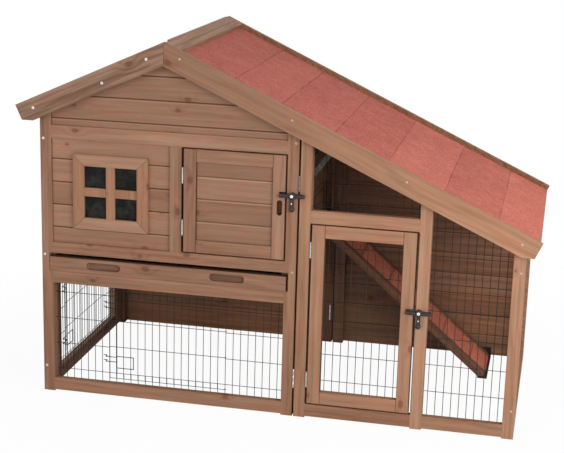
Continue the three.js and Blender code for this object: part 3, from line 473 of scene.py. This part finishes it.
def wood(name, tone, grain="x", zones=(), boards=None, seed=0.0, knots=0.16, lines=(),
         painted_shade=(), mitre=None, fade=None, contrast=1.0, joint=0.78, lip=0.42):
    """Stained softwood.

    tone is the middle colour. zones are ({axis: range in mm}, grain) where the timber is a
    piece of its own, boards is (axis, first joint, pitch) in mm, with joint and lip as the
    strength of the joint's dark line and of the painted highlight on the lip below it. knots is
    the share of cells that hold a knot. lines are joints drawn as thin dark lines, as
    draw_lines takes them, the places of painted shade, ({axis: range}, share), are darkened by
    that share, mitre is (left, right, low, high) in mm of a frame whose corners meet on the
    diagonal, and fade is (axis, from, to, gain, gain): the colour scaled by a gain that goes
    from one to the other along the axis.
    """
    s = Timber(name, grain, seed)
    if mitre:
        s.mitred_frame(*mitre)
    s.zones(zones)
    if boards:
        s.boards(*boards)
    s.draw_luck()
    knot, halo = s.knots(knots)
    bands = s.growth_lines(halo)
    streaks = s.grain_noise((3.0, 90.0, 90.0), detail=4.0, rough=0.62)
    fibres = s.grain_noise((22.0, 620.0, 620.0), detail=2.0, rough=0.5)
    cloud = s.grain_noise((3.2, 13.0, 13.0), detail=3.0, rough=0.6)
    stain = s.grain_noise((1.3, 30.0, 30.0), detail=2.0, rough=0.5)
    mottle = s.grain_noise((14.0, 40.0, 40.0), detail=3.0, rough=0.6)

    # Colour between dark and light by streaks, growth lines, clouds, fibres and luck
    light = tinted(tone, (1.22, 1.24, 1.26))
    dark = tinted(tone, (0.64, 0.55, 0.48))
    joint_and_shade_color = tinted(tone, (0.16, 0.09, 0.05))
    streaked = s.math("MULTIPLY_ADD", s.steps(streaks, 0.3, 0.7), 0.52 * contrast, 0.5 - 0.26 * contrast)
    value = s.add(streaked, s.swing(bands, -0.2 * contrast, middle=0.4), s.swing(cloud, 0.9 * contrast),
                  s.swing(fibres, 0.3), s.swing(s.luck, 0.4), clamp=True)
    color = s.mix(value, dark, light)

    # Warmer and cooler pieces, weathered stains, knots with their halos, mottle
    color = s.tint(s.times(s.warm[1], 0.42), color, (1.08, 0.93, 0.82))
    color = s.tint(s.times(s.warm[2], 0.3), color, (0.9, 0.96, 1.08))
    color = s.tint(s.times(s.steps(stain, 0.56, 0.72), 0.5), color, (0.9, 1.0, 1.06))
    color = s.tint(s.times(halo, 0.3), color, (0.84, 0.7, 0.62))
    color = s.tint(s.times(knot, 0.8), color, (0.6, 0.43, 0.37))
    patches = s.mix(s.steps(mottle, 0.36, 0.64), (1.05, 0.965, 0.94), (0.965, 1.02, 1.0))
    color = s.tint(1.0, color, patches)

    # Worn edges with a painted highlight, painted lip highlights, joints, fade, painted shade
    normal = s.rounded(0.0022)
    color = s.mix(s.worn_and_highlit_edges(normal), color, scaled(tone, 1.45))
    # Painted highlight along the top edge of the board below each joint
    if boards:
        color = s.mix(s.times(s.lip_highlight, lip), color, scaled(tone, 1.5))
        s.dark_line = s.times(s.dark_line, joint)
    s.draw_lines(lines)
    color = s.mix(s.dark_line, color, joint_and_shade_color)
    if fade:
        axis, low, high, gain_low, gain_high = fade
        ends = (in_row(axis, low), in_row(axis, high))
        gain = s.steps(s.part(axis), *ends, gain_low, gain_high, smooth=False)
        color = s.tint(1.0, color, s.combine(gain, gain, gain))
    # Painted shade: the given places darkened towards the joint colour
    for ranges, share in painted_shade:
        color = s.mix(s.times(s.within(ranges), share), color, joint_and_shade_color)

    relief = s.add(s.times(streaks, 0.7), s.times(bands, -0.25), s.times(fibres, 0.3), s.times(knot, 0.5))
    return s.surface(
        Base_Color=color, Specular_IOR_Level=0.3,
        Roughness=s.steps(streaks, 0.2, 0.8, 0.72, 0.56, smooth=False),
        Normal=s.bump(relief, strength=0.45, distance=0.0008, normal=normal))


# ------------------------------------------------------------------ felt, metal, plastic, pane

def roofing_felt(name, side, seams, tone_near, tone_far, reach):
    """Mineral felt in courses down a slope: side -1 or 1 of the ridge, or 0 for the ramp.

    seams are the places in mm from the ridge where one course laps the next. The colour goes
    from tone_near to tone_far over reach in metres.
    """
    s = Sheet(name)
    if side:
        run = s.times(s.minus(s.parts[0], row_x(RIDGE_X)), side / math.cos(ROOF_PITCH))
    else:
        run = s.times(s.parts[0], 1.0 / math.cos(RAMP_ANGLE))
    wavy_run = s.add(run, s.swing(s.noise(9.0, detail=2.0, rough=0.5), 0.004))
    course = 0.0
    seam = 0.0
    for place in seams:
        course = s.add(course, s.math("GREATER_THAN", run, mm(place)))
        gap = s.math("ABSOLUTE", s.minus(wavy_run, mm(place)))
        seam = s.math("MAXIMUM", seam, s.steps(gap, 0.0026, 0.0006))
    luck, _ = s.dice(s.add(course, 3.3 + 11.0 * side))
    grit = s.noise(520.0, detail=2.0, rough=0.75)
    coarse = s.noise(170.0, detail=3.0, rough=0.7)
    blotch = s.noise(26.0, detail=4.0, rough=0.6)
    wide = s.noise(6.0, detail=2.0, rough=0.5)
    color = s.mix(s.steps(run, 0.0, reach, smooth=False), tone_near, tone_far)
    value = s.add(s.swing(grit, 1.7), s.swing(coarse, 1.9), s.swing(blotch, 0.8), s.swing(wide, 0.5),
                  s.swing(luck, 0.22), 0.5, clamp=True)
    red = s.math("MULTIPLY_ADD", value, 0.62, 0.69)
    rest = s.math("MULTIPLY_ADD", value, 0.8, 0.6)
    color = s.tint(1.0, color, s.combine(red, rest, rest))
    color = s.mix(s.times(s.steps(coarse, 0.6, 0.72), 0.34), color, srgb(240, 180, 164))
    worn = s.math("MULTIPLY_ADD", s.steps(s.noise(11.0, detail=2.0, rough=0.5), 0.4, 0.62), 0.42, 0.1)
    color = s.mix(s.times(seam, worn), color, scaled(tone_near, 0.36))
    relief = s.add(s.times(grit, 0.6), s.times(coarse, 0.8), s.times(seam, -1.4))
    return s.surface(
        Base_Color=color, Roughness=0.93, Specular_IOR_Level=0.18,
        Normal=s.bump(relief, strength=0.75, distance=0.0009))


def coated_wire(name, color, metal=0.0):
    """Dark coating with paler worn places."""
    s = Sheet(name)
    tone = srgb(*color)
    cloud = s.noise(14.0, detail=3.0, rough=0.5)
    worn = s.steps(s.noise(90.0, detail=4.0, rough=0.65), 0.6, 0.74)
    base = s.mix(cloud, scaled(tone, 0.7), scaled(tone, 1.7))
    base = s.mix(s.times(worn, 0.22), base, srgb(120, 117, 113))
    return s.surface(
        Base_Color=base, Metallic=metal, Specular_IOR_Level=0.4,
        Roughness=s.steps(cloud, 0.3, 0.7, 0.36, 0.56, smooth=False),
        Normal=s.bump(s.noise(420.0, detail=2.0, rough=0.5), strength=0.25, distance=0.0003))


def zinc_plate(name, pale=(196, 196, 192), metal=0.85):
    """Zinc-plated steel: spangles and a few dull stains."""
    s = Sheet(name)
    tone = srgb(*pale)
    cells = s.new("ShaderNodeTexVoronoi", voronoi_dimensions="3D", feature="F1")
    cells.inputs["Scale"].default_value = 260.0
    s.link(s.where, cells.inputs["Vector"])
    spangle = s.split(cells.outputs["Color"])[0]
    stain = s.steps(s.noise(30.0, detail=4.0, rough=0.6), 0.5, 0.72)
    base = s.mix(spangle, scaled(tone, 0.8), scaled(tone, 1.12))
    base = s.mix(s.times(stain, 0.3), base, srgb(150, 142, 132))
    return s.surface(
        Base_Color=base, Metallic=metal,
        Roughness=s.steps(s.noise(60.0, detail=3.0, rough=0.5), 0.3, 0.7, 0.3, 0.5),
        Normal=s.bump(s.noise(300.0, detail=3.0, rough=0.6), strength=0.15, distance=0.0003))


def moulded_plastic(name, color=(22, 22, 24)):
    """Dark plastic or rubber with light scuffs."""
    s = Sheet(name)
    tone = srgb(*color)
    cloud = s.noise(60.0, detail=3.0, rough=0.5)
    scuff = s.steps(s.noise(240.0, detail=4.0, rough=0.7), 0.62, 0.74)
    base = s.mix(cloud, scaled(tone, 0.8), scaled(tone, 1.5))
    base = s.mix(s.times(scuff, 0.18), base, srgb(110, 110, 112))
    grain = s.noise(1500.0, detail=2.0, rough=0.5)
    return s.surface(
        Base_Color=base, Roughness=s.steps(cloud, 0.3, 0.7, 0.34, 0.5),
        Normal=s.bump(grain, strength=0.2, distance=0.0002, normal=s.rounded(0.0012)))


def pane_in_shade(name):
    """Window sheet painted near black as the shade of the room behind it, with a fine woven screen pressed
    on it.
    """
    s = Sheet(name)
    thread_pitch = 0.0024
    threads = []
    for part in (s.parts[0], s.parts[2]):
        turn = s.math("SINE", s.times(part, 2 * math.pi / thread_pitch))
        threads.append(s.steps(turn, 0.1, 0.9))
    weave = s.math("MAXIMUM", *threads)
    smear = s.noise(34.0, detail=4.0, rough=0.65)
    dust = s.steps(s.noise(480.0, detail=2.0, rough=0.6), 0.62, 0.75)
    base = s.mix(weave, srgb(6, 6, 6), srgb(21, 20, 19))
    base = s.mix(s.steps(smear, 0.42, 0.66, 0.0, 0.7), base, srgb(48, 46, 40))
    base = s.mix(s.times(dust, 0.3), base, srgb(84, 80, 74))
    return s.surface(
        Base_Color=base, Specular_IOR_Level=0.12,
        Roughness=s.steps(smear, 0.3, 0.7, 0.3, 0.5),
        Normal=s.bump(weave, strength=0.3, distance=0.0003))


def paint(mat, *names):
    for name in names:
        slots = nodes[name].data.materials
        if not slots:
            slots.append(mat)
        for i in range(len(slots)):
            slots[i] = mat


# ------------------------------------------------------------------ finish of every CAD node

PINE = srgb(148, 112, 90)
PINE_GREY = srgb(150, 116, 93)
PINE_POST = srgb(147, 111, 86)
PINE_LIGHT = srgb(157, 119, 94)
PINE_BRIGHT = srgb(167, 126, 100)
PINE_DULL = srgb(134, 103, 84)
# A shaded copy of pine: painted shade for the underside of the roof
PINE_IN_SHADE = srgb(134, 96, 70)
PINE_INNER = srgb(140, 100, 73)
PINE_RAIL = srgb(141, 106, 84)
# Darker pine: painted shade for the partition inside the hutch
PINE_PARTITION = srgb(120, 86, 63)
PINE_BACK = srgb(141, 103, 79)
PINE_RAMP = srgb(122, 84, 62)

# Heights and widths in mm that several pieces share
HOUSE_DOOR_X, HOUSE_DOOR_Z = (424, 717), (463, 763)
RUN_DOOR_X, RUN_DOOR_Z = (795, 1088), (44, 573)
POST_Z = (0, 900)
LOW_ROOM_Z = (0, 372)
BOARD = 67

# Plain timbers: node, colour, grain
single = [
    ("house_post_front_left", PINE, "z"),
    ("run_post_front_right", PINE_BRIGHT, "z"),
    ("gable_beam", PINE, "x"),
    ("tray_top_rail", PINE, "x"),
    ("tray_bottom_rail", PINE_RAIL, "x"),
    ("house_bottom_rail", PINE, "x"),
    ("run_header_rail", PINE_LIGHT, "x"),
    ("run_bottom_rail_left", PINE, "x"),
    ("run_bottom_rail_right", PINE_LIGHT, "x"),
]
for i, (name, tone, grain) in enumerate(single):
    paint(wood("wood_" + name, tone, grain, seed=i * 3.17 + 1.0, contrast=0.85, knots=0.36), name)
# Upright timbers beside a gap: node, colour, and the dark lines at their edges
gap_beside = {
    "house_post_front_right": (
        PINE_POST, [("x", 720, 2.4, "z", HOUSE_DOOR_Z), ("x", 753, 1.8, "z", POST_Z)]),
    "run_post_front_left": (
        PINE_POST, [("x", 757, 1.8, "z", POST_Z), ("x", 790, 1.2, "z", RUN_DOOR_Z)]),
    "run_post_middle": (PINE_LIGHT, [("x", 1093, 2.4, "z", RUN_DOOR_Z)]),
    "door_stile": (PINE_GREY, [("x", 419, 2.4, "z", HOUSE_DOOR_Z)]),
}
for i, (name, (tone, lines)) in enumerate(gap_beside.items()):
    paint(wood("wood_" + name, tone, "z", seed=i * 3.17 + 201.0, contrast=0.85, lines=lines), name)
paint(wood("wood_barge_left", PINE_DULL, SLOPE_LEFT, seed=45.0, contrast=1.9, knots=0.2),
      "barge_front_left")
paint(wood("wood_barge_right", PINE_LIGHT, SLOPE_RIGHT, seed=48.5, contrast=0.7, knots=0.12,
           fade=("x", 500, 1330, 0.78, 1.18)), "barge_front_right")
paint(wood("wood_ridge", PINE_GREY, "y", seed=52.0, contrast=1.1,
           lines=[("x", 396, 1.4, "y", (-22, 712))]), "ridge_strip")

# Boards. Painted shade in places that start at several heights adds up, so that it gets darker under the
# roof.
paint(wood("wood_gable", PINE, "x", boards=("z", 824, BOARD), seed=61.0, contrast=0.5, knots=0.42),
      "gable_boards")
paint(wood("wood_front_wall", PINE, "x", boards=("z", 505, BOARD), seed=70.0, contrast=0.52, knots=0.36,
           fade=("x", 20, 380, 1.09, 0.98)), "front_wall_boards")
paint(wood("wood_left_wall", PINE, "y", boards=("z", 405, BOARD), seed=80.0, contrast=0.7),
      "side_boards_left")
paint(wood("wood_partition", PINE_PARTITION, "y", boards=("z", 505, BOARD), seed=101.0,
           painted_shade=[({"z": (low, 900)}, 0.35) for low in (639, 706)]), "partition_boards")
# Painted shade on the rear right post, on the rear left post in the low room, and over the low room
paint(wood("wood_back_house", PINE_INNER, "x", boards=("z", 71, BOARD), seed=110.0,
           zones=[({"x": (-1, 33)}, "z"), ({"x": (720, 754)}, "z")],
           painted_shade=[({"x": (722, 754), "y": (640, 662)}, 0.5), ({"x": (-1, 40), "z": LOW_ROOM_Z}, 0.5),
                    ({"z": LOW_ROOM_Z}, 0.16)]), "back_panel_house")
# Painted shade: darker under the roof, and darker towards the house on the left
paint(wood("wood_back_run", PINE_BACK, "x", boards=("z", 71, BOARD), seed=120.0,
           zones=[({"x": (756, 790)}, "z"), ({"x": (1351, 1385)}, "z")],
           painted_shade=[({"z": (low, 900)}, 0.35) for low in (607, 674, 741)],
           fade=("x", 790, 1150, 0.7, 1.0)), "back_panel_run")
paint(wood("wood_roof_left", PINE_IN_SHADE, "y", seed=130.0), "roof_left_panel")
paint(wood("wood_roof_right", PINE_IN_SHADE, "y", seed=140.0), "roof_right_panel")

# Framed pieces: stiles upright, rails level between them
paint(wood("wood_window_frame", PINE_LIGHT, "x", seed=150.0, knots=0.08, contrast=0.55,
           mitre=(98, 321, 507, 725), zones=[({"x": (196, 223), "z": (541, 691)}, "z")]), "window_frame")
# Painted shade inside the finger slot; the stile on the hinge side a little darker
paint(wood(
    "wood_house_door", PINE, "x", seed=160.0, contrast=0.8,
    zones=[({"x": (423, 461)}, "z"), ({"x": (680, 718)}, "z")],
    lines=[("x", 461, 1.4, "z", HOUSE_DOOR_Z), ("x", 680, 1.4, "z", HOUSE_DOOR_Z),
           ("x", 424, 2.0, "z", HOUSE_DOOR_Z), ("x", 717, 2.4, "z", HOUSE_DOOR_Z),
           ("z", 763, 2.0, "x", HOUSE_DOOR_X), ("z", 463, 2.0, "x", HOUSE_DOOR_X)],
    painted_shade=[({"x": (690, 711), "y": (1.0, 19), "z": (585, 636)}, 0.9), ({"x": (423, 460)}, 0.16)],
), "house_door_frame")
paint(wood("wood_house_door_boards", PINE, "x", boards=("z", 554.5, 65), seed=170.0, contrast=0.5,
           knots=0.34, joint=0.3, lip=0.85, fade=("z", *HOUSE_DOOR_Z, 0.77, 1.05)), "house_door_boards")
paint(wood(
    "wood_run_door", PINE_LIGHT, "x", seed=180.0, contrast=0.7,
    zones=[({"x": (794, 832)}, "z"), ({"x": (1051, 1090)}, "z")],
    lines=[("x", 832, 1.4, "z", RUN_DOOR_Z), ("x", 1051, 1.4, "z", RUN_DOOR_Z),
           ("x", 795, 1.2, "z", RUN_DOOR_Z), ("x", 1088, 2.4, "z", RUN_DOOR_Z),
           ("z", 573, 2.0, "x", RUN_DOOR_X), ("z", 44, 2.0, "x", RUN_DOOR_X)],
), "run_door_frame")
# Painted shade: the tray front a little darker all over, and inside the finger slots
paint(wood(
    "wood_tray_front", PINE, "x", seed=185.0, contrast=0.9, knots=0.42, fade=("x", 20, 720, 0.9, 0.9),
    lines=[("z", 417, 3.2, "x", (20, 728)), ("x", 726, 2.6, "z", (372, 417))],
    painted_shade=[({"x": slot, "y": (1.0, 19), "z": (380, 410)}, 0.42) for slot in ((140, 234), (505, 600))],
), "tray_front")
for name, tone, outer, shaded in (
        ("side_frame_left", PINE, (-5, 30), (17, 19)),
        ("side_frame_right", PINE_LIGHT, (1360, 1390), (1365, 1368))):
    paint(wood("wood_" + name, tone, "y", seed=190.0 + outer[0], painted_shade=[({"x": shaded}, 0.5)],
               zones=[({"x": outer, "y": stile}, "z") for stile in ((30, 73), (617, 660))]), name)

ramp_low, ramp_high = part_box("ramp_board")
RAMP_START, RAMP_END = (corner[0] * 1000 + MID_X for corner in (ramp_low, ramp_high))
RAMP_FRONT, RAMP_BACK = (corner[1] * 1000 + MID_Y for corner in (ramp_low, ramp_high))
# Painted shade on the last few mm at the low end of the ramp board
paint(wood("wood_ramp", PINE_RAMP, SLOPE_RAMP, seed=55.0,
           painted_shade=[({"x": (RAMP_END - 3, RAMP_END + 1)}, 0.9)]), "ramp_board")

paint(roofing_felt("felt_right", 1, (202, 350, 517, 685, 858, 1025),
                   tone_near=srgb(158, 87, 75), tone_far=srgb(190, 107, 92), reach=1.16),
      "roof_right_felt")
paint(roofing_felt("felt_left", -1, (170, 330),
                   tone_near=srgb(158, 88, 76), tone_far=srgb(174, 97, 83), reach=0.48),
      "roof_left_felt")
paint(roofing_felt("felt_ramp", 0, (),
                   tone_near=srgb(228, 134, 106), tone_far=srgb(184, 106, 84), reach=0.8),
      "ramp_felt")

paint(coated_wire("wire_net", (34, 33, 31), 0.1), "front_net", "side_net_left", "run_door_net",
      "run_net_right", "run_net_top", "side_net_right")
paint(coated_wire("wire_gate", (24, 24, 23), 0.1), "front_wire_door", "side_wire_door")
paint(coated_wire("wire_hook", (20, 20, 20), 0.1), "front_wire_latch", "side_wire_latch")
paint(zinc_plate("zinc"), "tray_pan", "house_hinge_post_lower", "house_hinge_post_upper",
      "house_hinge_door_lower", "house_hinge_door_upper", "run_hinge_post_lower",
      "run_hinge_post_upper", "run_hinge_door_lower", "run_hinge_door_upper")
paint(zinc_plate("hinge_brown", (128, 98, 80), 0.0), "roof_hinge_fixed_leaf", "roof_hinge_lid_leaf")
# Dull weathered zinc, darkened further as painted shade, for the stay
paint(zinc_plate("stay_dull_shaded", (48, 42, 37), 0.1), "roof_stay")
paint(moulded_plastic("latch_black"), "house_latch", "run_latch")
paint(pane_in_shade("pane_painted_shade"), "window_pane")


# ------------------------------------------------------------------ small fittings

# Finishes of screws, hinge barrels and latch ribs
screw_finish = zinc_plate("screw_zinc", (232, 228, 220), 0.4)
dull_screw = zinc_plate("screw_dull", (196, 178, 164), 0.3)
# Paler zinc, brightened further as a painted highlight
bright_highlight_finish = zinc_plate("screw_bright_highlight", (240, 240, 238), 0.3)
hinge_finish = zinc_plate("barrel_zinc", (214, 212, 206))
dull_finish = zinc_plate("barrel_dull", (116, 102, 96), 0.2)
# Near black: painted shade inside the screws' cross recesses
recess_shade = coated_wire("recess_painted_shade", (30, 28, 26))
rib_finish = moulded_plastic("latch_rib", (32, 29, 28))


def mesh_piece(name, form, mat, body, smooth=True):
    """Makes a piece that rides with a body from the form, and frees the form."""
    mesh = bpy.data.meshes.new(name)
    form.to_mesh(mesh)
    form.free()
    mesh.materials.append(mat)
    if smooth:
        for face in mesh.polygons:
            face.use_smooth = True
    piece = bpy.data.objects.new(name, mesh)
    bpy.context.scene.collection.objects.link(piece)
    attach(piece, body)


def lathe(profile, sides, placed, form):
    """Turns a profile of (radius, height) in metres about Z, placed by a matrix, into form."""
    rings = []
    for radius, height in profile:
        if radius == 0:
            rings.append([form.verts.new(placed @ Vector((0, 0, height)))])
            continue
        angles = [2 * math.pi * i / sides for i in range(sides)]
        rings.append([
            form.verts.new(placed @ Vector((radius * math.cos(a), radius * math.sin(a), height)))
            for a in angles
        ])
    for low, high in zip(rings, rings[1:]):
        for i in range(sides):
            j = (i + 1) % sides
            if len(low) == 1:
                form.faces.new((low[0], high[i], high[j]))
            elif len(high) == 1:
                form.faces.new((low[i], low[j], high[0]))
            else:
                form.faces.new((low[i], low[j], high[j], high[i]))


def facing(normal, place):
    """Matrix with Z along a direction, at a place."""
    return Matrix.Translation(place) @ Vector(normal).to_track_quat("Z", "Y").to_matrix().to_4x4()


def screw_head(form, place, radius, proud=0.5, turn=0.0):
    """A countersunk head that faces the front, its rim in the timber. Sizes in mm."""
    placed = facing(TO_FRONT, place) @ Matrix.Rotation(turn, 4, "Z")
    r = radius * 0.001
    top = proud * 0.001
    sunk = -0.15 * 0.001
    lathe([(r, sunk), (r, top * 0.55), (r * 0.86, top), (r * 0.5, top * 1.12), (0, top * 1.15)],
          20, placed, form)
    return placed


def cross_slots(form, placed, radius, top):
    """The mark of a cross recess: a flat four-armed star just above the head. Sizes in metres."""
    arm = radius * 0.52
    half = radius * 0.11
    tip = half * 0.8
    outline = []
    for quarter in range(4):
        c, w = math.cos(quarter * math.pi / 2), math.sin(quarter * math.pi / 2)
        for x, y in ((half, -half), (arm, -tip), (arm, tip)):
            outline.append((x * c - y * w, x * w + y * c))
    form.faces.new([form.verts.new(placed @ Vector((x, y, top))) for x, y in outline])


def screws(name, places, depth, body, finish, radius):
    """Screw heads at places (x, z) on a face at a depth, each turned at random."""
    heads = bmesh.new()
    slots = bmesh.new()
    recess_top = 0.00062
    for x, z in places:
        turn = rng.uniform(0, math.pi)
        placed = screw_head(heads, at(x, depth, z), radius, turn=turn)
        cross_slots(slots, placed, radius * 0.001, recess_top)
    mesh_piece(name, heads, finish, body)
    # The cross recesses get the near-black finish of painted shade
    mesh_piece(name + "_recess", slots, recess_shade, body, smooth=False)


POST_Y = 0
BARGE_Y = -22
screws("left_post_screws", [(9, 764), (8, 421), (9, 78)], POST_Y, "hutch", screw_finish, 3.8)
screws("right_post_screws", [(743, 798), (742, 429), (1373, 483), (1373, 83)], POST_Y, "hutch",
       dull_screw, 3.2)
screws("left_barge_screws", [(-11, 853), (193, 935), (321, 1008)], BARGE_Y, "hutch", screw_finish, 4.1)
screws("right_barge_screws", [(416, 1013), (734, 865), (1053, 717), (1371, 569)], BARGE_Y, "roof_lid",
       dull_screw, 3.2)


def latch_trim(name, x, z, body):
    """Round ribs along the bar and the tab of a turn latch, domes on them, a screw and a rivet."""
    front = -10
    hub, bar_end, tab_end = 8, 34, 36
    sunk, dome_top = -0.0005, 0.003
    ribs = bmesh.new()
    for start_at, end_at, radius in (
            ((x - bar_end, z), (x - hub, z), 3.4),
            ((x + hub, z), (x + bar_end, z), 3.4),
            ((x, z - hub), (x, z - tab_end), 3.0)):
        start, end = (at(place[0], front, place[1]) for place in (start_at, end_at))
        long = (end - start).length
        r = mm(radius)
        lathe([(0, 0), (r * 0.7, r * 0.3), (r, r), (r, long - r), (r * 0.7, long - r * 0.3), (0, long)],
              14, facing(end - start, start), ribs)
    for dome_x, dome_z, radius in ((x - 33, z, 4.6), (x + 33, z, 4.6), (x, z - 30, 4.2), (x, z - 38, 6.4)):
        r = mm(radius)
        lathe([(r, sunk), (r, 0.0012), (r * 0.8, 0.0024), (0, dome_top)], 18,
              facing(TO_FRONT, at(dome_x, front, dome_z)), ribs)
    lathe([(0.0088, sunk), (0.0088, 0.001), (0.0074, 0.0026), (0.0046, dome_top), (0, dome_top)], 24,
          facing(TO_FRONT, at(x, front, z)), ribs)
    mesh_piece(name + "_ribs", ribs, rib_finish, body)
    heads = bmesh.new()
    placed = screw_head(heads, at(x, front - 2.8, z), radius=4.4, proud=1.6)
    mesh_piece(name + "_screw", heads, bright_highlight_finish, body)
    rivet = bmesh.new()
    screw_head(rivet, at(x, front - 2.4, z - 21), radius=2.0, proud=1.0)
    mesh_piece(name + "_rivet", rivet, screw_finish, body)
    slots = bmesh.new()
    cross_slots(slots, placed, radius=0.0036, top=0.00192)
    # The cross recess gets the near-black finish of painted shade
    mesh_piece(name + "_recess", slots, recess_shade, body, smooth=False)


latch_trim("house_latch", 736.5, 651, "house_turn_latch")
latch_trim("run_latch", 1103, 346, "run_turn_latch")


def barrel(name, x, y, low, high, finish, radius=2.4):
    """Upright hinge barrel of three rolled knuckles that joins the two modules. Sizes in mm."""
    form = bmesh.new()
    knuckles = 3
    half_gap = 0.25
    rounding = 0.0004
    step = (high - low) / knuckles
    r = mm(radius)
    for i in range(knuckles):
        a = mm(low + i * step + half_gap)
        b = mm(low + (i + 1) * step - half_gap)
        lathe([(0, a), (r * 0.9, a), (r, a + rounding), (r, b - rounding), (r * 0.9, b), (0, b)],
              18, Matrix.Translation(at(x, y, 0)), form)
    mesh_piece(name, form, finish, "hutch")


barrel("module_hinge_upper", 755, -0.6, 663, 708, dull_finish, radius=2.8)
barrel("module_hinge_lower", 755, -0.6, 87, 144, hinge_finish)
barrel("module_hinge_rear", 745, 654.4, 78, 130, bright_highlight_finish)


def prism(form, outline, front, back):
    """Adds a plate to form: an outline of (x, z) between two depths, in mm."""
    rings = [[form.verts.new(at(x, y, z)) for x, z in outline] for y in (front, back)]
    form.faces.new(rings[0])
    form.faces.new(rings[1][::-1])
    for i in range(len(outline)):
        j = (i + 1) % len(outline)
        form.faces.new((rings[0][j], rings[0][i], rings[1][i], rings[1][j]))


def ramp_foot():
    """Black strip round the low end of the ramp, with a corner that stands up at the back."""
    form = bmesh.new()
    rise = math.tan(RAMP_ANGLE)
    end_top = ramp_high[2] * 1000 - (RAMP_END - RAMP_START) * rise
    thick = 4
    strip_top = end_top + 2
    wrap, wrap_top, wrap_proud = 26, 7, 1.2
    corner, corner_thick = 27, 3
    outer = RAMP_END + thick
    prism(form, [(RAMP_END, 0), (outer, 0), (outer, strip_top), (RAMP_END, strip_top)],
          RAMP_FRONT, RAMP_BACK)
    prism(form, [(RAMP_END - wrap, 0), (outer, 0), (outer, wrap_top), (RAMP_END - wrap, wrap_top)],
          RAMP_FRONT - wrap_proud, RAMP_FRONT)
    prism(form, [(RAMP_END - corner, end_top + corner * rise), (outer, end_top - thick * rise),
                 (outer, end_top + corner * rise)], RAMP_BACK - corner_thick, RAMP_BACK)
    mesh_piece("ramp_foot", form, moulded_plastic("foot_rubber", (13, 12, 12)), "hutch",
               smooth=False)


ramp_foot()


# ------------------------------------------------------------------ wrap up

bpy.context.scene.view_settings.view_transform = "Standard"
